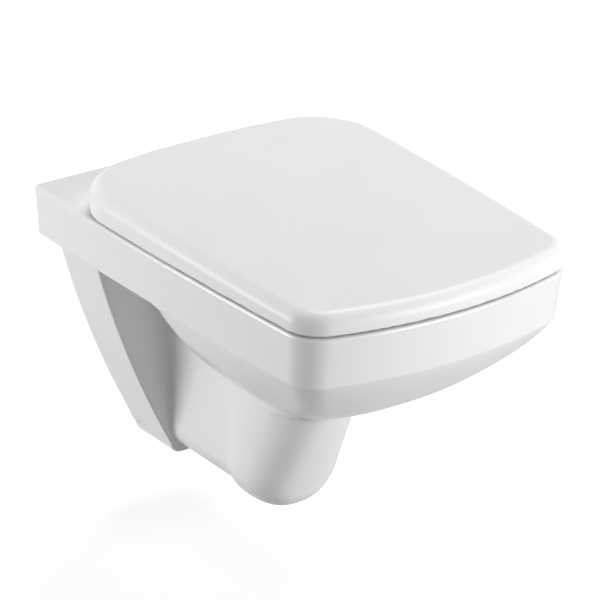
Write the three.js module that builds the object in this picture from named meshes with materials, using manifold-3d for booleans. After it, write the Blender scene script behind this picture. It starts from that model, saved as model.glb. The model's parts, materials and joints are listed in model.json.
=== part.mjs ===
// Wall hung toilet: a ceramic pan with seat ring, wrap-over lid, soft-close hinges and wall fixings.
// Millimetres, +Z up. The origin is midway between the two wall bolts, on the wall plane.
// +X is to the right seen from the front, and the pan reaches out towards -Y.

import * as THREE from 'three';
import * as BufferGeometryUtils from 'three/addons/utils/BufferGeometryUtils.js';
import Module from 'manifold-3d';

const wasm = await Module();
wasm.setup();

// Driving dimensions of the whole pan
const panWidth = 350;
const panLength = 527;
const rimHeight = 80;
const fitGap = 0.3;
const cutOverrun = 2;

// The plan outline: nearly straight sides, a nearly flat front and round corners between them
const sideBow = 6000;
const frontBow = 470;
const frontCorner = 42;
const straightSide = 170;

// The upper band of the pan, from the rim plane down to the crease
const bandDepth = 57.5;
const bandSideDraft = 4;
const bandFrontDraft = 10;
const bandCornerDraft = 4;
const rimRound = 4;
const bandLipRound = 1.5;

// The bowl under the band, which narrows from the crease to its underside
const bowlDepth = 149;
const bowlLeave = 248;
const bowlBackAtBand = 145;
const bowlUnderHalfWidth = 97;
const bowlUnderFront = 404;
const bowlUnderBack = 218;
const bowlUnderPower = 3;
const bowlTaperStraightShare = 0.43;
const bowlTaperPower = 1.5;
const bowlOverlap = 20;
const bellyDepth = 22;
const bellyHalfWidth = 62;
const bellyFront = 352;
const bellyBack = 232;

// The sump, the lowest part of the pan
const panDepth = 335;
const sumpTopDepth = 140;
const sumpHalfWidth = 53.5;
const sumpPower = 2.5;
const sumpTopFront = 343;
const sumpTopBack = 150;
const sumpFootFront = 247;
const sumpFootBack = 162;
const sumpSideRound = 49;
const sumpEndRound = 24;

// The neck that carries the waterway back to the wall flange
const neckDepth = 323;
const neckReach = 200;
const neckHalfWidth = 50;
const neckRound = 35;
const neckTopHalfWidth = 60;
const neckTopDepth = 50;
const neckShoulderHalfWidth = 54;
const neckShoulderDepth = 150;
const neckWaistHalfWidth = 50.5;
const neckWaistDepth = 200;
const neckFillet = 5;

// The shield shaped wall flange
const flangeDepth = 74;
const flangeTopHalfWidth = 147;
const flangeFootHalfWidth = 50;
const flangeFootDepth = 313;
const flangeBulge = 9;
const flangeBottomDepth = 325;
const flangeEdgeRound = 2;

// The bowl's inside, its rim and the water channel behind the rim's curtain
const bowlWall = 13;
const bowlFloor = 12;
const rimTopWall = 14;
const curtainDepth = 45;
const curtainWall = 9;
const channelWidth = 18;
const openingHalfWidth = 120;
const openingWidest = 310;
const openingFront = 479;
const openingBack = 168;
const openingSideBow = 1500;
const openingEndBow = 330;
const openingCorner = 80;
const openingRound = 6;
const throatDepth = 180;
const throatHalfWidth = 37;
const throatFront = 300;
const throatBack = 217;
const footDepth = 208;
const footHalfWidth = 29;
const footFront = 282;
const footBack = 214;

// The waterway from the bowl through the trap to the outlet
const trapRadius = 28;
const trapLegFront = 243;
const trapLegBack = 168;
const trapTurnDepth = 240;
const trapDipDepth = 285;
const weirCentreDepth = 173;
const weirReach = 128;
const outletDepth = 180;
const outletBoreRadius = 43;
const outletTaperReach = 60;
const outletSpigotRadius = 51;
const outletRecessRadius = 66;
const outletRecessDepth = 50;

// The water inlet
const inletDepth = 45;
const inletBoreRadius = 27.5;
const inletReach = 150;

// Hollows left in the back by the casting
const deckWall = 14;
const deckHollowInner = 42;
const deckHollowReach = 128;
const flangeHollowWall = 14;
const flangeHollowInner = 79;
const flangeHollowTopDepth = 104;
const flangeHollowFootDepth = 212;
const flangeHollowReach = 60;
const footHollowHalfWidth = 34;
const footHollowTopDepth = 260;
const footHollowFootDepth = 309;
const footHollowReach = 112;

// Wall fixings
const wallBoltSpacing = 180;
const studRadius = 6;
const studTail = 6;
const sleeveWall = 2.5;
const sleeveCollarRadius = 14;
const sleeveCollar = 3;
const washerRadius = 13;
const washerThickness = 2.5;
const nutAcrossFlats = 19;
const nutHeight = 10;
const wallCapRadius = 17;
const wallCapWall = 1.8;
const wallCapRound = 5;

// Seat fixings in the deck
const seatHoleSpacing = 155;
const seatHoleRadius = 7;
const seatHoleReach = 113.5;
const screwRadius = 3;
const screwHeadRadius = 6;
const screwHeadHeight = 3.5;
const screwLength = 45;
const expanderLength = 29;
const coneNutLength = 8;
const coneNutTipRadius = 5;
const coneNutFootRadius = 6.4;

// Hinges
const hingeAxisReach = 70;
const hingeAxisHeight = 22;
const barrelRadius = 8.5;
const pinRadius = 3.5;
const damperRadius = 6.2;
const postWidth = 19;
const lugWidth = 20;
const lugGap = 0.5;
const gasketThickness = 1.5;
const basePlateThickness = 5;
const basePlateWidth = 40;
const basePlateFront = 128;
const basePlateBack = 88;
const basePlateCorner = 8;
const riserThickness = 12;
const armDrop = 5;
const hingeCapWall = 1.5;
const hingeCapHeight = 10;
const hingeCapCorner = 4;
const hingeCapRound = 1.2;

// Lid
const lidOverhang = 1.5;
const lidBack = 53;
const lidBackBow = 900;
const lidBackCornerShare = 0.24;
const lidBottom = 4;
const lidTopAtMiddle = 31.4;
const lidMiddle = 270;
const lidSlopeShare = 0.0219;
const lidShoulder = 15;
const lidWall = 4.5;
const lidCrown = 1.2;
const lidEdgeRound = 0.8;
const lidBackRelief = 14;
const lidBackReliefReach = 66;
const lidNotchMargin = 2;
const lidWebDrop = 7;
const lidWebReach = 34;

// Seat ring
const seatSideGap = 3.5;
const seatBottom = 4.5;
const seatTopGap = 2.6;
const seatBack = 133;
const seatBackCorner = 26;
const seatBackBow = 2500;
const seatOuterRound = 7;
const seatInnerRound = 10;
const seatUnderRound = 1.5;
const seatOpeningHalfWidth = 110;
const seatOpeningFront = 464;
const seatOpeningBack = 182;
const seatOpeningCorner = 72;
const seatArmDrop = 12;
const seatArmRise = 4;
const seatArmOverlap = 16;

// Buffers
const seatBufferRadius = 9;
const seatBufferInset = 24;
const seatBufferFront = 420;
const seatBufferRear = 215;
const lidBufferRadius = 7;
const lidBufferInset = 31;
const lidBufferFront = 440;
const lidBufferRear = 250;

// Facet counts
const sideSteps = 3;
const cornerSteps = 6;
const endSteps = 4;
const backSteps = 6;
const edgeSteps = 6;
const capCornerSteps = 3;
const trapSteps = 16;
const roundSides = 24;
const boreSides = 20;
const sumpSides = 32;
const shoulderAngles = [0, 1, 2, 3, 4].map((step) => step * Math.PI / 8);
const roundAngles = [0, 1, 2, 3].map((step) => step * Math.PI / 6);
const crownShares = [0.8, 0.45];
const bowlLevelShares = [0, 0.3, 0.55, 0.75, 0.88, 0.96, 1];
const sumpLevelShares = [0, 0.5, 0.75, 0.83, 0.89, 0.94, 0.98, 1];

// Materials
const finish = (color, roughness, metalness = 0) =>
  new THREE.MeshStandardMaterial({ color, roughness, metalness });
const ceramicFinish = finish(0xf6f6f4, 0.08);
const duroplastFinish = finish(0xf4f4f3, 0.22);
const rubberFinish = finish(0xd9d9d6, 0.8);
const steelFinish = finish(0xb9bcc0, 0.3, 1);
const chromeFinish = finish(0xd8dadd, 0.08, 1);
const brassFinish = finish(0xc9a24b, 0.35, 1);
const plasticFinish = finish(0xeeeeec, 0.4);
const greyPlasticFinish = finish(0x8c8f92, 0.5);

const object = new THREE.Group();

// Mesh and solid helpers

// A closed mesh through a list of rings with equal point counts. Each ring is a list of [x, y, z].
function loft(rings, ringClosed = false) {
  const count = rings[0].length;
  const positions = rings.flat();
  const faces = [];
  const spans = ringClosed ? rings.length : rings.length - 1;
  for (let i = 0; i < spans; i++) {
    const low = i * count;
    const high = ((i + 1) % rings.length) * count;
    for (let j = 0; j < count; j++) {
      const k = (j + 1) % count;
      faces.push([low + j, low + k, high + k], [low + j, high + k, high + j]);
    }
  }
  if (!ringClosed) {
    capRing(rings[0], 0, positions, faces, true);
    capRing(rings.at(-1), (rings.length - 1) * count, positions, faces, false);
  }
  return facing(positions, faces);
}

// Closes one end of a loft with a fan around the ring's centre.
function capRing(ring, start, positions, faces, reverse) {
  const centre = [0, 1, 2].map((axis) => ring.reduce((sum, point) => sum + point[axis], 0) / ring.length);
  const hub = positions.push(centre) - 1;
  for (let j = 0; j < ring.length; j++) {
    const k = (j + 1) % ring.length;
    faces.push(reverse ? [hub, start + k, start + j] : [hub, start + j, start + k]);
  }
}

// Makes a geometry whose faces point outwards, whichever way the rings ran.
function facing(positions, faces) {
  const volume = faces.reduce((sum, [a, b, c]) => {
    const [p, q, r] = [a, b, c].map((index) => new THREE.Vector3(...positions[index]));
    return sum + p.dot(q.cross(r));
  }, 0);
  const ordered = volume < 0 ? faces.map(([a, b, c]) => [a, c, b]) : faces;
  const geometry = new THREE.BufferGeometry();
  geometry.setAttribute('position', new THREE.Float32BufferAttribute(positions.flat(), 3));
  geometry.setIndex(ordered.flat());
  return geometry;
}

function solid(geometry) {
  const bare = geometry.clone();
  bare.deleteAttribute('normal');
  bare.deleteAttribute('uv');
  const merged = BufferGeometryUtils.mergeVertices(bare);
  return new wasm.Manifold(new wasm.Mesh({
    numProp: 3,
    vertProperties: new Float32Array(merged.attributes.position.array),
    triVerts: new Uint32Array(merged.index.array),
  }));
}

function geometryOf(body) {
  const mesh = body.getMesh();
  const geometry = new THREE.BufferGeometry();
  geometry.setAttribute('position', new THREE.BufferAttribute(new Float32Array(mesh.vertProperties), 3));
  geometry.setIndex(new THREE.BufferAttribute(new Uint32Array(mesh.triVerts), 1));
  geometry.computeVertexNormals();
  return geometry;
}

function addPiece(name, geometry, material) {
  const mesh = new THREE.Mesh(geometry, material);
  mesh.name = name;
  object.add(mesh);
  return mesh;
}

// A box between two corners.
function block([x0, y0, z0], [x1, y1, z1]) {
  const box = new THREE.BoxGeometry(Math.abs(x1 - x0), Math.abs(y1 - y0), Math.abs(z1 - z0));
  return box.translate((x0 + x1) / 2, (y0 + y1) / 2, (z0 + z1) / 2);
}

// A closed solid of revolution about Z from [radius, z] pairs that start and end on the axis.
function turned(profile, sides = roundSides) {
  const points = profile.map(([radius, z]) => new THREE.Vector2(radius, z));
  return new THREE.LatheGeometry(points, sides).rotateX(Math.PI / 2);
}

// A ring of revolution about Z from [radius, z] pairs that close on themselves.
function turnedRing(profile, sides = roundSides) {
  return turned([...profile, profile[0]], sides);
}

// A round bar between two places on Z, in either order.
function rod(radius, from, to, sides = roundSides) {
  const low = Math.min(from, to);
  const high = Math.max(from, to);
  return turned([[0, low], [radius, low], [radius, high], [0, high]], sides);
}

// Turns a solid made along +Z so that it runs along -Y, away from the wall.
function outward(geometry) {
  return geometry.rotateX(Math.PI / 2);
}

// Turns a solid made along +Z so that it runs along +X.
function sideways(geometry) {
  return geometry.rotateY(Math.PI / 2);
}

// Plan outlines

// Points from the widest place of one side round a corner to the middle of an end, as three arcs
// that meet smoothly. The end lies at -Y and x is positive.
function quarterOutline({ halfWidth, widest, leave, end, endBow, corner, bow }) {
  const sideCentre = new THREE.Vector2(halfWidth - bow, -widest);
  const endCentre = new THREE.Vector2(0, endBow - end);
  const toSide = bow - corner;
  const toEnd = endBow - corner;
  const between = endCentre.clone().sub(sideCentre);
  const span = between.length();
  const along = (toSide ** 2 - toEnd ** 2 + span ** 2) / (2 * span);
  const across = Math.sqrt(toSide ** 2 - along ** 2);
  const step = between.divideScalar(span);
  const cornerCentre = sideCentre.clone().addScaledVector(step, along)
    .addScaledVector(new THREE.Vector2(step.y, -step.x), across);
  const sideAngle = cornerCentre.clone().sub(sideCentre).angle() - 2 * Math.PI;
  const endAngle = cornerCentre.clone().sub(endCentre).angle() - 2 * Math.PI;
  const firstAngle = -Math.asin((leave - widest) / bow);
  return [
    ...arcPoints(sideCentre, bow, firstAngle, sideAngle, sideSteps),
    ...arcPoints(cornerCentre, corner, sideAngle, endAngle, cornerSteps).slice(1),
    ...arcPoints(endCentre, endBow, endAngle, -Math.PI / 2, endSteps).slice(1),
  ];
}

function arcPoints(centre, radius, from, to, steps) {
  return Array.from({ length: steps + 1 }, (_, i) => {
    const angle = from + (to - from) * i / steps;
    return [centre.x + radius * Math.cos(angle), centre.y + radius * Math.sin(angle)];
  });
}

// Joins a half outline, given from the back middle to the front middle, to its mirror image.
function mirrored(half) {
  const left = half.map(([x, y]) => [-x, y]).reverse();
  const onAxis = ([x]) => Math.abs(x) < fitGap / 10;
  return [...half, ...left.filter((point) => !onAxis(point))];
}

// A quarter ellipse from the widest place of the side back to the middle of the back.
function ellipseBack([x, y], back, steps = backSteps) {
  return Array.from({ length: steps }, (_, i) => {
    const angle = Math.PI / 2 * (1 - i / steps);
    return [x * Math.cos(angle), y + (-back - y) * Math.sin(angle)];
  });
}

// A closed outline with an elliptical back, drawn in by inset.
function roundBackOutline(spec, inset = 0) {
  const front = quarterOutline({
    ...spec,
    halfWidth: spec.halfWidth - inset,
    end: spec.end - inset,
    endBow: spec.endBow - inset,
    corner: spec.corner - inset,
    bow: spec.bow - inset,
  });
  return mirrored([...ellipseBack(front[0], spec.back + inset), ...front]);
}

// A closed outline with a bowed back and two round back corners, drawn in by inset.
function bowedOutline(spec, inset = 0) {
  const shared = {
    halfWidth: spec.halfWidth - inset,
    bow: spec.bow - inset,
    widest: spec.widest,
    leave: spec.widest,
  };
  const front = quarterOutline({
    ...shared, end: spec.end - inset, endBow: spec.endBow - inset, corner: spec.corner - inset,
  });
  const back = quarterOutline({
    ...shared,
    end: 2 * spec.widest - spec.back - inset,
    endBow: spec.backBow - inset,
    corner: spec.backCorner - inset,
  }).map(([x, y]) => [x, -2 * spec.widest - y]);
  return mirrored([...back.reverse().slice(0, -1), ...front]);
}

const atHeight = (outline, z) => outline.map(([x, y]) => [x, y, z]);
const belowRim = (depth) => rimHeight - depth;

// Pan body

const rimOutline = {
  halfWidth: panWidth / 2, widest: straightSide, leave: straightSide,
  end: panLength, endBow: frontBow, corner: frontCorner, bow: sideBow,
};
const creaseOutline = {
  ...rimOutline,
  halfWidth: panWidth / 2 - bandSideDraft,
  end: panLength - bandFrontDraft,
  corner: frontCorner - bandCornerDraft,
};

// The band's outline at one level: square at the wall, following the rim's outline in front.
function bandRing(spec, inset, z) {
  const front = quarterOutline({
    ...spec,
    halfWidth: spec.halfWidth - inset,
    end: spec.end - inset,
    corner: spec.corner - inset,
  });
  return atHeight(mirrored([[spec.halfWidth - inset, 0], ...front]), z);
}

function bandSolid() {
  const roundLevel = (angle) => ({
    inset: rimRound * (1 - Math.sin(angle)),
    drop: rimRound * (1 - Math.cos(angle)),
  });
  const top = [0, Math.PI / 6, Math.PI / 3, Math.PI / 2].map((angle) => {
    const { inset, drop } = roundLevel(angle);
    return bandRing(rimOutline, inset, belowRim(drop));
  });
  return solid(loft([
    ...top,
    bandRing(creaseOutline, 0, belowRim(bandDepth - bandLipRound)),
    bandRing(creaseOutline, bandLipRound, belowRim(bandDepth)),
  ]));
}

// How far the bowl has narrowed at a share of its depth: slowly at first, then ever faster.
function taper(share) {
  const curved = 1 - Math.pow(Math.max(1 - Math.pow(share, bowlTaperPower), 0), 1 / bowlTaperPower);
  return bowlTaperStraightShare * share + (1 - bowlTaperStraightShare) * curved;
}

// One level of the bowl, between the crease outline and the underside's squarish ellipse.
function bowlRing(share, inset) {
  const upper = roundBackOutline(
    { ...creaseOutline, leave: bowlLeave, back: bowlBackAtBand }, inset + bandLipRound);
  const centre = -(bowlUnderFront + bowlUnderBack) / 2;
  const halfLength = (bowlUnderFront - bowlUnderBack) / 2 - inset;
  const power = 2 / bowlUnderPower;
  const narrowed = taper(share);
  return upper.map(([x, y]) => {
    const angle = Math.atan2(y - centre, x);
    const underX = (bowlUnderHalfWidth - inset) * signedPower(Math.cos(angle), power);
    const underY = centre + halfLength * signedPower(Math.sin(angle), power);
    return [x + (underX - x) * narrowed, y + (underY - y) * narrowed];
  });
}

const signedPower = (value, power) => Math.sign(value) * Math.pow(Math.abs(value), power);

// An ellipse with as many points as the bowl's rings, for the levels under the bowl.
function ovalRing(halfWidth, front, back) {
  const centre = -(front + back) / 2;
  const halfLength = (front - back) / 2;
  return bowlRing(0, 0).map(([x, y]) => {
    const angle = Math.atan2(y + (bowlUnderFront + bowlUnderBack) / 2, x);
    return [halfWidth * Math.cos(angle), centre + halfLength * Math.sin(angle)];
  });
}

function bowlOuterSolid() {
  const levels = bowlLevelShares.map((share) =>
    atHeight(bowlRing(share, 0), belowRim(bandDepth + (bowlDepth - bandDepth) * share)));
  return solid(loft([
    atHeight(bowlRing(0, bandSideDraft), belowRim(bandDepth - bowlOverlap)),
    ...levels,
    atHeight(ovalRing(bellyHalfWidth, bellyFront, bellyBack), belowRim(bowlDepth + bellyDepth)),
  ]));
}

// How far a wall has turned in at a depth, when a round of this radius ends it at the pan's foot.
function drawnIn(depth, round) {
  const sunk = Math.max(depth - (panDepth - round), 0) / round;
  return round * (1 - Math.sqrt(Math.max(1 - sunk ** 2, 0)));
}

function sumpSolid() {
  const power = 2 / sumpPower;
  const rings = sumpLevelShares.map((share) => {
    const depth = sumpTopDepth + (panDepth - sumpTopDepth) * share;
    const front = sumpTopFront + (sumpFootFront - sumpTopFront) * share;
    const back = sumpTopBack + (sumpFootBack - sumpTopBack) * share;
    const halfWidth = sumpHalfWidth - drawnIn(depth, sumpSideRound);
    const halfLength = (front - back) / 2 - drawnIn(depth, sumpEndRound);
    return Array.from({ length: sumpSides }, (_, i) => {
      const angle = 2 * Math.PI * i / sumpSides;
      return [
        halfWidth * signedPower(Math.cos(angle), power),
        halfLength * signedPower(Math.sin(angle), power) - (front + back) / 2,
        belowRim(depth),
      ];
    });
  });
  return solid(loft(rings));
}

function neckSolid() {
  const section = (spread) => {
    const round = arcPoints(
      new THREE.Vector2(neckHalfWidth - neckRound, belowRim(neckDepth - neckRound)),
      neckRound, 0, -Math.PI / 2, cornerSteps);
    return mirrored([
      [0, belowRim(neckTopDepth)],
      [neckTopHalfWidth + spread, belowRim(neckTopDepth)],
      [neckShoulderHalfWidth + spread, belowRim(neckShoulderDepth)],
      [neckWaistHalfWidth + spread, belowRim(neckWaistDepth)],
      ...round.map(([x, z]) => [x + spread, z]),
      [0, belowRim(neckDepth)],
    ]);
  };
  const fillet = [0, Math.PI / 8, Math.PI / 4, Math.PI / 2].map((angle) => [
    neckFillet * (1 - Math.sin(angle)), flangeDepth + neckFillet * (1 - Math.cos(angle)),
  ]);
  const stations = [[neckFillet, flangeDepth / 2], ...fillet, [0, neckReach]];
  return solid(loft(stations.map(([spread, reach]) => section(spread).map(([x, z]) => [x, -reach, z]))));
}

// Half-width of the wall flange at a depth below the rim.
function flangeEdge(depth) {
  const share = (depth - bandDepth) / (flangeFootDepth - bandDepth);
  const straight = flangeTopHalfWidth + (flangeFootHalfWidth - flangeTopHalfWidth) * share;
  return straight + 4 * flangeBulge * share * (1 - share);
}

function flangeSolid() {
  const round = flangeBottomDepth - flangeFootDepth;
  const edge = Array.from({ length: edgeSteps + 1 }, (_, i) => {
    const depth = bandDepth + (flangeFootDepth - bandDepth) * i / edgeSteps;
    return [flangeEdge(depth), belowRim(depth)];
  });
  const corner = arcPoints(
    new THREE.Vector2(flangeFootHalfWidth - round, belowRim(flangeFootDepth)),
    round, 0, -Math.PI / 2, cornerSteps);
  const top = belowRim(bandDepth - bowlOverlap);
  const outline = mirrored([
    [0, top], [flangeTopHalfWidth, top], ...edge, ...corner.slice(1), [0, belowRim(flangeBottomDepth)],
  ]);
  const narrowedShare = 1 - flangeEdgeRound / flangeTopHalfWidth;
  const level = (share, reach) => outline.map(([x, z]) => [x * share, -reach, top + (z - top) * share]);
  return solid(loft([
    level(1, 0), level(1, flangeDepth - flangeEdgeRound), level(narrowedShare, flangeDepth),
  ]));
}

// The rim's opening seen from above; its curtain and channel lie round it.
const openingOutline = {
  halfWidth: openingHalfWidth, widest: openingWidest, bow: openingSideBow,
  end: openingFront, endBow: openingEndBow, corner: openingCorner,
  back: openingBack, backBow: openingEndBow, backCorner: openingCorner,
};

const openingLevel = (outset, depth) => atHeight(bowedOutline(openingOutline, -outset), belowRim(depth));

function bowlHollow() {
  const rounded = [0, Math.PI / 6, Math.PI / 3, Math.PI / 2].map((angle) =>
    openingLevel(openingRound * (1 - Math.sin(angle)), openingRound * (1 - Math.cos(angle))));
  const opening = solid(loft([
    openingLevel(openingRound, -cutOverrun), ...rounded, openingLevel(0, curtainDepth + cutOverrun),
  ]));
  const curtain = solid(loft([
    openingLevel(curtainWall, rimTopWall / 2), openingLevel(curtainWall, curtainDepth),
  ]));
  const channel = solid(loft([
    openingLevel(curtainWall + channelWidth, rimTopWall),
    openingLevel(curtainWall + channelWidth, curtainDepth),
  ]));
  const innerDepth = bowlDepth - bowlFloor - bandDepth;
  const chamber = solid(loft([
    atHeight(bowlRing(0, bowlWall), belowRim(curtainDepth - channelWidth / 2)),
    ...bowlLevelShares.map((share) =>
      atHeight(bowlRing(share, bowlWall), belowRim(bandDepth + innerDepth * share))),
    atHeight(ovalRing(bellyHalfWidth - bowlWall, bellyFront - bowlWall, bellyBack),
      belowRim(bowlDepth + bellyDepth - bowlFloor)),
    atHeight(ovalRing(throatHalfWidth, throatFront, throatBack), belowRim(throatDepth)),
    atHeight(ovalRing(footHalfWidth, footFront, footBack), belowRim(footDepth)),
  ]));
  return channel.add(chamber).subtract(curtain).add(opening);
}

// The trap's passage: down the front leg, round the dip, up the back leg, over the weir and out.
function waterway() {
  const dipReach = (trapLegFront + trapLegBack) / 2;
  const legSpan = trapLegFront - trapLegBack;
  const turnRise = trapDipDepth - trapTurnDepth;
  const turnInShare = 0.14;
  const turnDownShare = 0.67;
  const stops = [
    [trapLegFront, throatDepth],
    [trapLegFront, trapTurnDepth],
    [trapLegFront - legSpan * turnInShare, trapTurnDepth + turnRise * turnDownShare],
    [dipReach, trapDipDepth],
    [trapLegBack + legSpan * turnInShare, trapTurnDepth + turnRise * turnDownShare],
    [trapLegBack, trapTurnDepth],
    [(trapLegBack * 3 + weirReach) / 4, (trapTurnDepth + weirCentreDepth) / 2],
    [weirReach, weirCentreDepth],
    [(weirReach + outletTaperReach) / 2, weirCentreDepth],
    [outletTaperReach, (weirCentreDepth + outletDepth) / 2],
    [outletTaperReach / 2, outletDepth],
    [-cutOverrun, outletDepth],
  ];
  const path = new THREE.CatmullRomCurve3(
    stops.map(([reach, depth]) => new THREE.Vector3(0, -reach, belowRim(depth))), false, 'centripetal');
  const rings = Array.from({ length: trapSteps + 1 }, (_, i) => {
    const centre = path.getPointAt(i / trapSteps);
    const across = path.getTangentAt(i / trapSteps).cross(new THREE.Vector3(1, 0, 0));
    const opened = THREE.MathUtils.smoothstep(centre.y, -weirReach, -outletTaperReach);
    const radius = trapRadius + (outletBoreRadius - trapRadius) * opened;
    return Array.from({ length: boreSides }, (_, k) => {
      const angle = 2 * Math.PI * k / boreSides;
      return new THREE.Vector3(radius * Math.cos(angle), 0, 0)
        .addScaledVector(across, radius * Math.sin(angle)).add(centre).toArray();
    });
  });
  return solid(loft(rings));
}

// A round cut that starts behind the wall plane and runs out to a reach.
function boreFromWall(radius, x, depth, reach) {
  return solid(outward(rod(radius, -cutOverrun, reach, boreSides)).translate(x, 0, belowRim(depth)));
}

const sides = [['left', -1], ['right', 1]];
const boltX = wallBoltSpacing / 2;
const sleeveBore = studRadius + fitGap;
const sleeveRadius = sleeveBore + sleeveWall;

function backCuts() {
  const deckFloor = bandDepth - deckWall;
  const sideLimit = panWidth / 2 - deckWall;
  const spigotGap = boreFromWall(outletRecessRadius, 0, outletDepth, outletRecessDepth)
    .subtract(boreFromWall(outletSpigotRadius, 0, outletDepth, outletRecessDepth + cutOverrun));
  const cuts = [
    waterway(),
    boreFromWall(inletBoreRadius, 0, inletDepth, inletReach),
    spigotGap,
    solid(block([-footHollowHalfWidth, cutOverrun, belowRim(footHollowTopDepth)],
      [footHollowHalfWidth, -footHollowReach, belowRim(footHollowFootDepth)])),
  ];
  for (const [, side] of sides) {
    cuts.push(
      boreFromWall(sleeveRadius + fitGap, side * boltX, rimHeight, flangeDepth + cutOverrun),
      solid(block([side * deckHollowInner, cutOverrun, belowRim(deckWall)],
        [side * sideLimit, -deckHollowReach, belowRim(deckFloor)])),
      solid(rod(seatHoleRadius, belowRim(deckWall + cutOverrun), belowRim(-cutOverrun), boreSides)
        .translate(side * seatHoleSpacing / 2, -seatHoleReach, 0)),
      flangeHollow(side),
    );
  }
  return cuts;
}

// The hollow on one side of the flange: its outer wall follows the flange's edge.
function flangeHollow(side) {
  const height = flangeHollowFootDepth - flangeHollowTopDepth;
  const rows = Array.from({ length: edgeSteps / 2 + 1 }, (_, i) => {
    const depth = flangeHollowTopDepth + height * i / (edgeSteps / 2);
    return [flangeEdge(depth) - flangeHollowWall, belowRim(depth)];
  });
  const shape = [
    [flangeHollowInner, belowRim(flangeHollowFootDepth)],
    [flangeHollowInner, belowRim(flangeHollowTopDepth)],
    ...rows,
  ];
  const level = (reach) => shape.map(([x, z]) => [side * x, -reach, z]);
  return solid(loft([level(-cutOverrun), level(flangeHollowReach)]));
}

const shell = [bowlOuterSolid(), sumpSolid(), neckSolid(), flangeSolid()]
  .reduce((whole, piece) => whole.add(piece), bandSolid());
const pan = [bowlHollow(), ...backCuts()].reduce((whole, cut) => whole.subtract(cut), shell);
addPiece('pan_body', geometryOf(pan), ceramicFinish);

// Wall fixings, made along +Z from the wall plane and then turned outwards

function addWallFixings(name, side) {
  const place = (geometry) => outward(geometry).translate(side * boltX, 0, 0);
  const collarStart = flangeDepth + fitGap;
  const collarEnd = collarStart + sleeveCollar;
  const washerStart = collarEnd + fitGap;
  const washerEnd = washerStart + washerThickness;
  const nutStart = washerEnd + fitGap;
  const nutEnd = nutStart + nutHeight;
  const studEnd = nutEnd + studTail;
  const capEnd = studEnd + fitGap + wallCapWall;
  const capBore = wallCapRadius - wallCapWall;

  addPiece(`wall_stud_${name}`, place(rod(studRadius, 0, studEnd)), steelFinish);
  addPiece(`wall_sleeve_${name}`, place(turnedRing([
    [sleeveBore, fitGap], [sleeveRadius, fitGap], [sleeveRadius, collarStart],
    [sleeveCollarRadius, collarStart], [sleeveCollarRadius, collarEnd], [sleeveBore, collarEnd],
  ])), greyPlasticFinish);
  addPiece(`wall_washer_${name}`, place(turnedRing([
    [sleeveBore, washerStart], [washerRadius, washerStart],
    [washerRadius, washerEnd], [sleeveBore, washerEnd],
  ])), steelFinish);

  const hexRadius = nutAcrossFlats / 2 / Math.cos(Math.PI / 6);
  const hex = new THREE.Shape(Array.from({ length: 6 }, (_, i) => new THREE.Vector2(
    hexRadius * Math.cos(i * Math.PI / 3), hexRadius * Math.sin(i * Math.PI / 3))));
  hex.holes.push(new THREE.Path().absarc(0, 0, sleeveBore, 0, 2 * Math.PI, true));
  const nut = new THREE.ExtrudeGeometry(hex, {
    depth: nutHeight, bevelEnabled: false, curveSegments: roundSides,
  }).translate(0, 0, nutStart);
  addPiece(`wall_nut_${name}`, place(nut), steelFinish);

  const domed = [0, Math.PI / 6, Math.PI / 3, Math.PI / 2].map((angle) => [
    wallCapRadius - wallCapRound * (1 - Math.cos(angle)), capEnd - wallCapRound * (1 - Math.sin(angle)),
  ]);
  const bend = wallCapRound - wallCapWall;
  const ceiling = capEnd - wallCapWall;
  addPiece(`wall_cap_${name}`, place(turned([
    [0, ceiling], [capBore - bend, ceiling], [capBore, ceiling - bend], [capBore, collarStart],
    [wallCapRadius, collarStart], ...domed, [0, capEnd],
  ])), plasticFinish);
}

for (const [name, side] of sides) addWallFixings(name, side);

// Hinge brackets and what fixes them to the deck

const hingeX = seatHoleSpacing / 2;
const axisZ = rimHeight + hingeAxisHeight;
const gasketBottom = rimHeight + fitGap;
const plateBottom = gasketBottom + gasketThickness + fitGap;
const plateTop = plateBottom + basePlateThickness;
const screwHole = screwRadius + fitGap;
const pinBore = pinRadius + fitGap;

// A barrel along X between two places, round the hinge axis.
function barrel(radius, from, to, segments = roundSides) {
  return sideways(rod(radius, from, to, segments)).translate(0, -hingeAxisReach, axisZ);
}

// The footprint of the bracket, with its front corners rounded and a hole for the screw.
function footprint(thickness) {
  const half = basePlateWidth / 2;
  const round = basePlateCorner;
  const shape = new THREE.Shape();
  shape.moveTo(half, -basePlateBack);
  shape.lineTo(-half, -basePlateBack);
  shape.lineTo(-half, round - basePlateFront);
  shape.absarc(round - half, round - basePlateFront, round, Math.PI, 1.5 * Math.PI, false);
  shape.absarc(half - round, round - basePlateFront, round, -Math.PI / 2, 0, false);
  shape.closePath();
  shape.holes.push(new THREE.Path().absarc(0, -seatHoleReach, screwHole, 0, 2 * Math.PI, true));
  return new THREE.ExtrudeGeometry(shape, {
    depth: thickness, bevelEnabled: false, curveSegments: cornerSteps,
  });
}

function bracketGeometry() {
  const half = postWidth / 2;
  const plate = solid(footprint(basePlateThickness).translate(0, 0, plateBottom));
  const riserFront = basePlateBack + riserThickness;
  const armTop = axisZ + barrelRadius;
  const riser = solid(block([-half, -riserFront, plateTop - basePlateThickness / 2],
    [half, -basePlateBack, armTop]));
  const arm = solid(block([-half, -riserFront, axisZ - armDrop], [half, -hingeAxisReach, armTop]));
  const bore = solid(barrel(pinBore, -postWidth, postWidth));
  return geometryOf(plate.add(riser).add(arm).add(solid(barrel(barrelRadius, -half, half))).subtract(bore));
}

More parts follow.
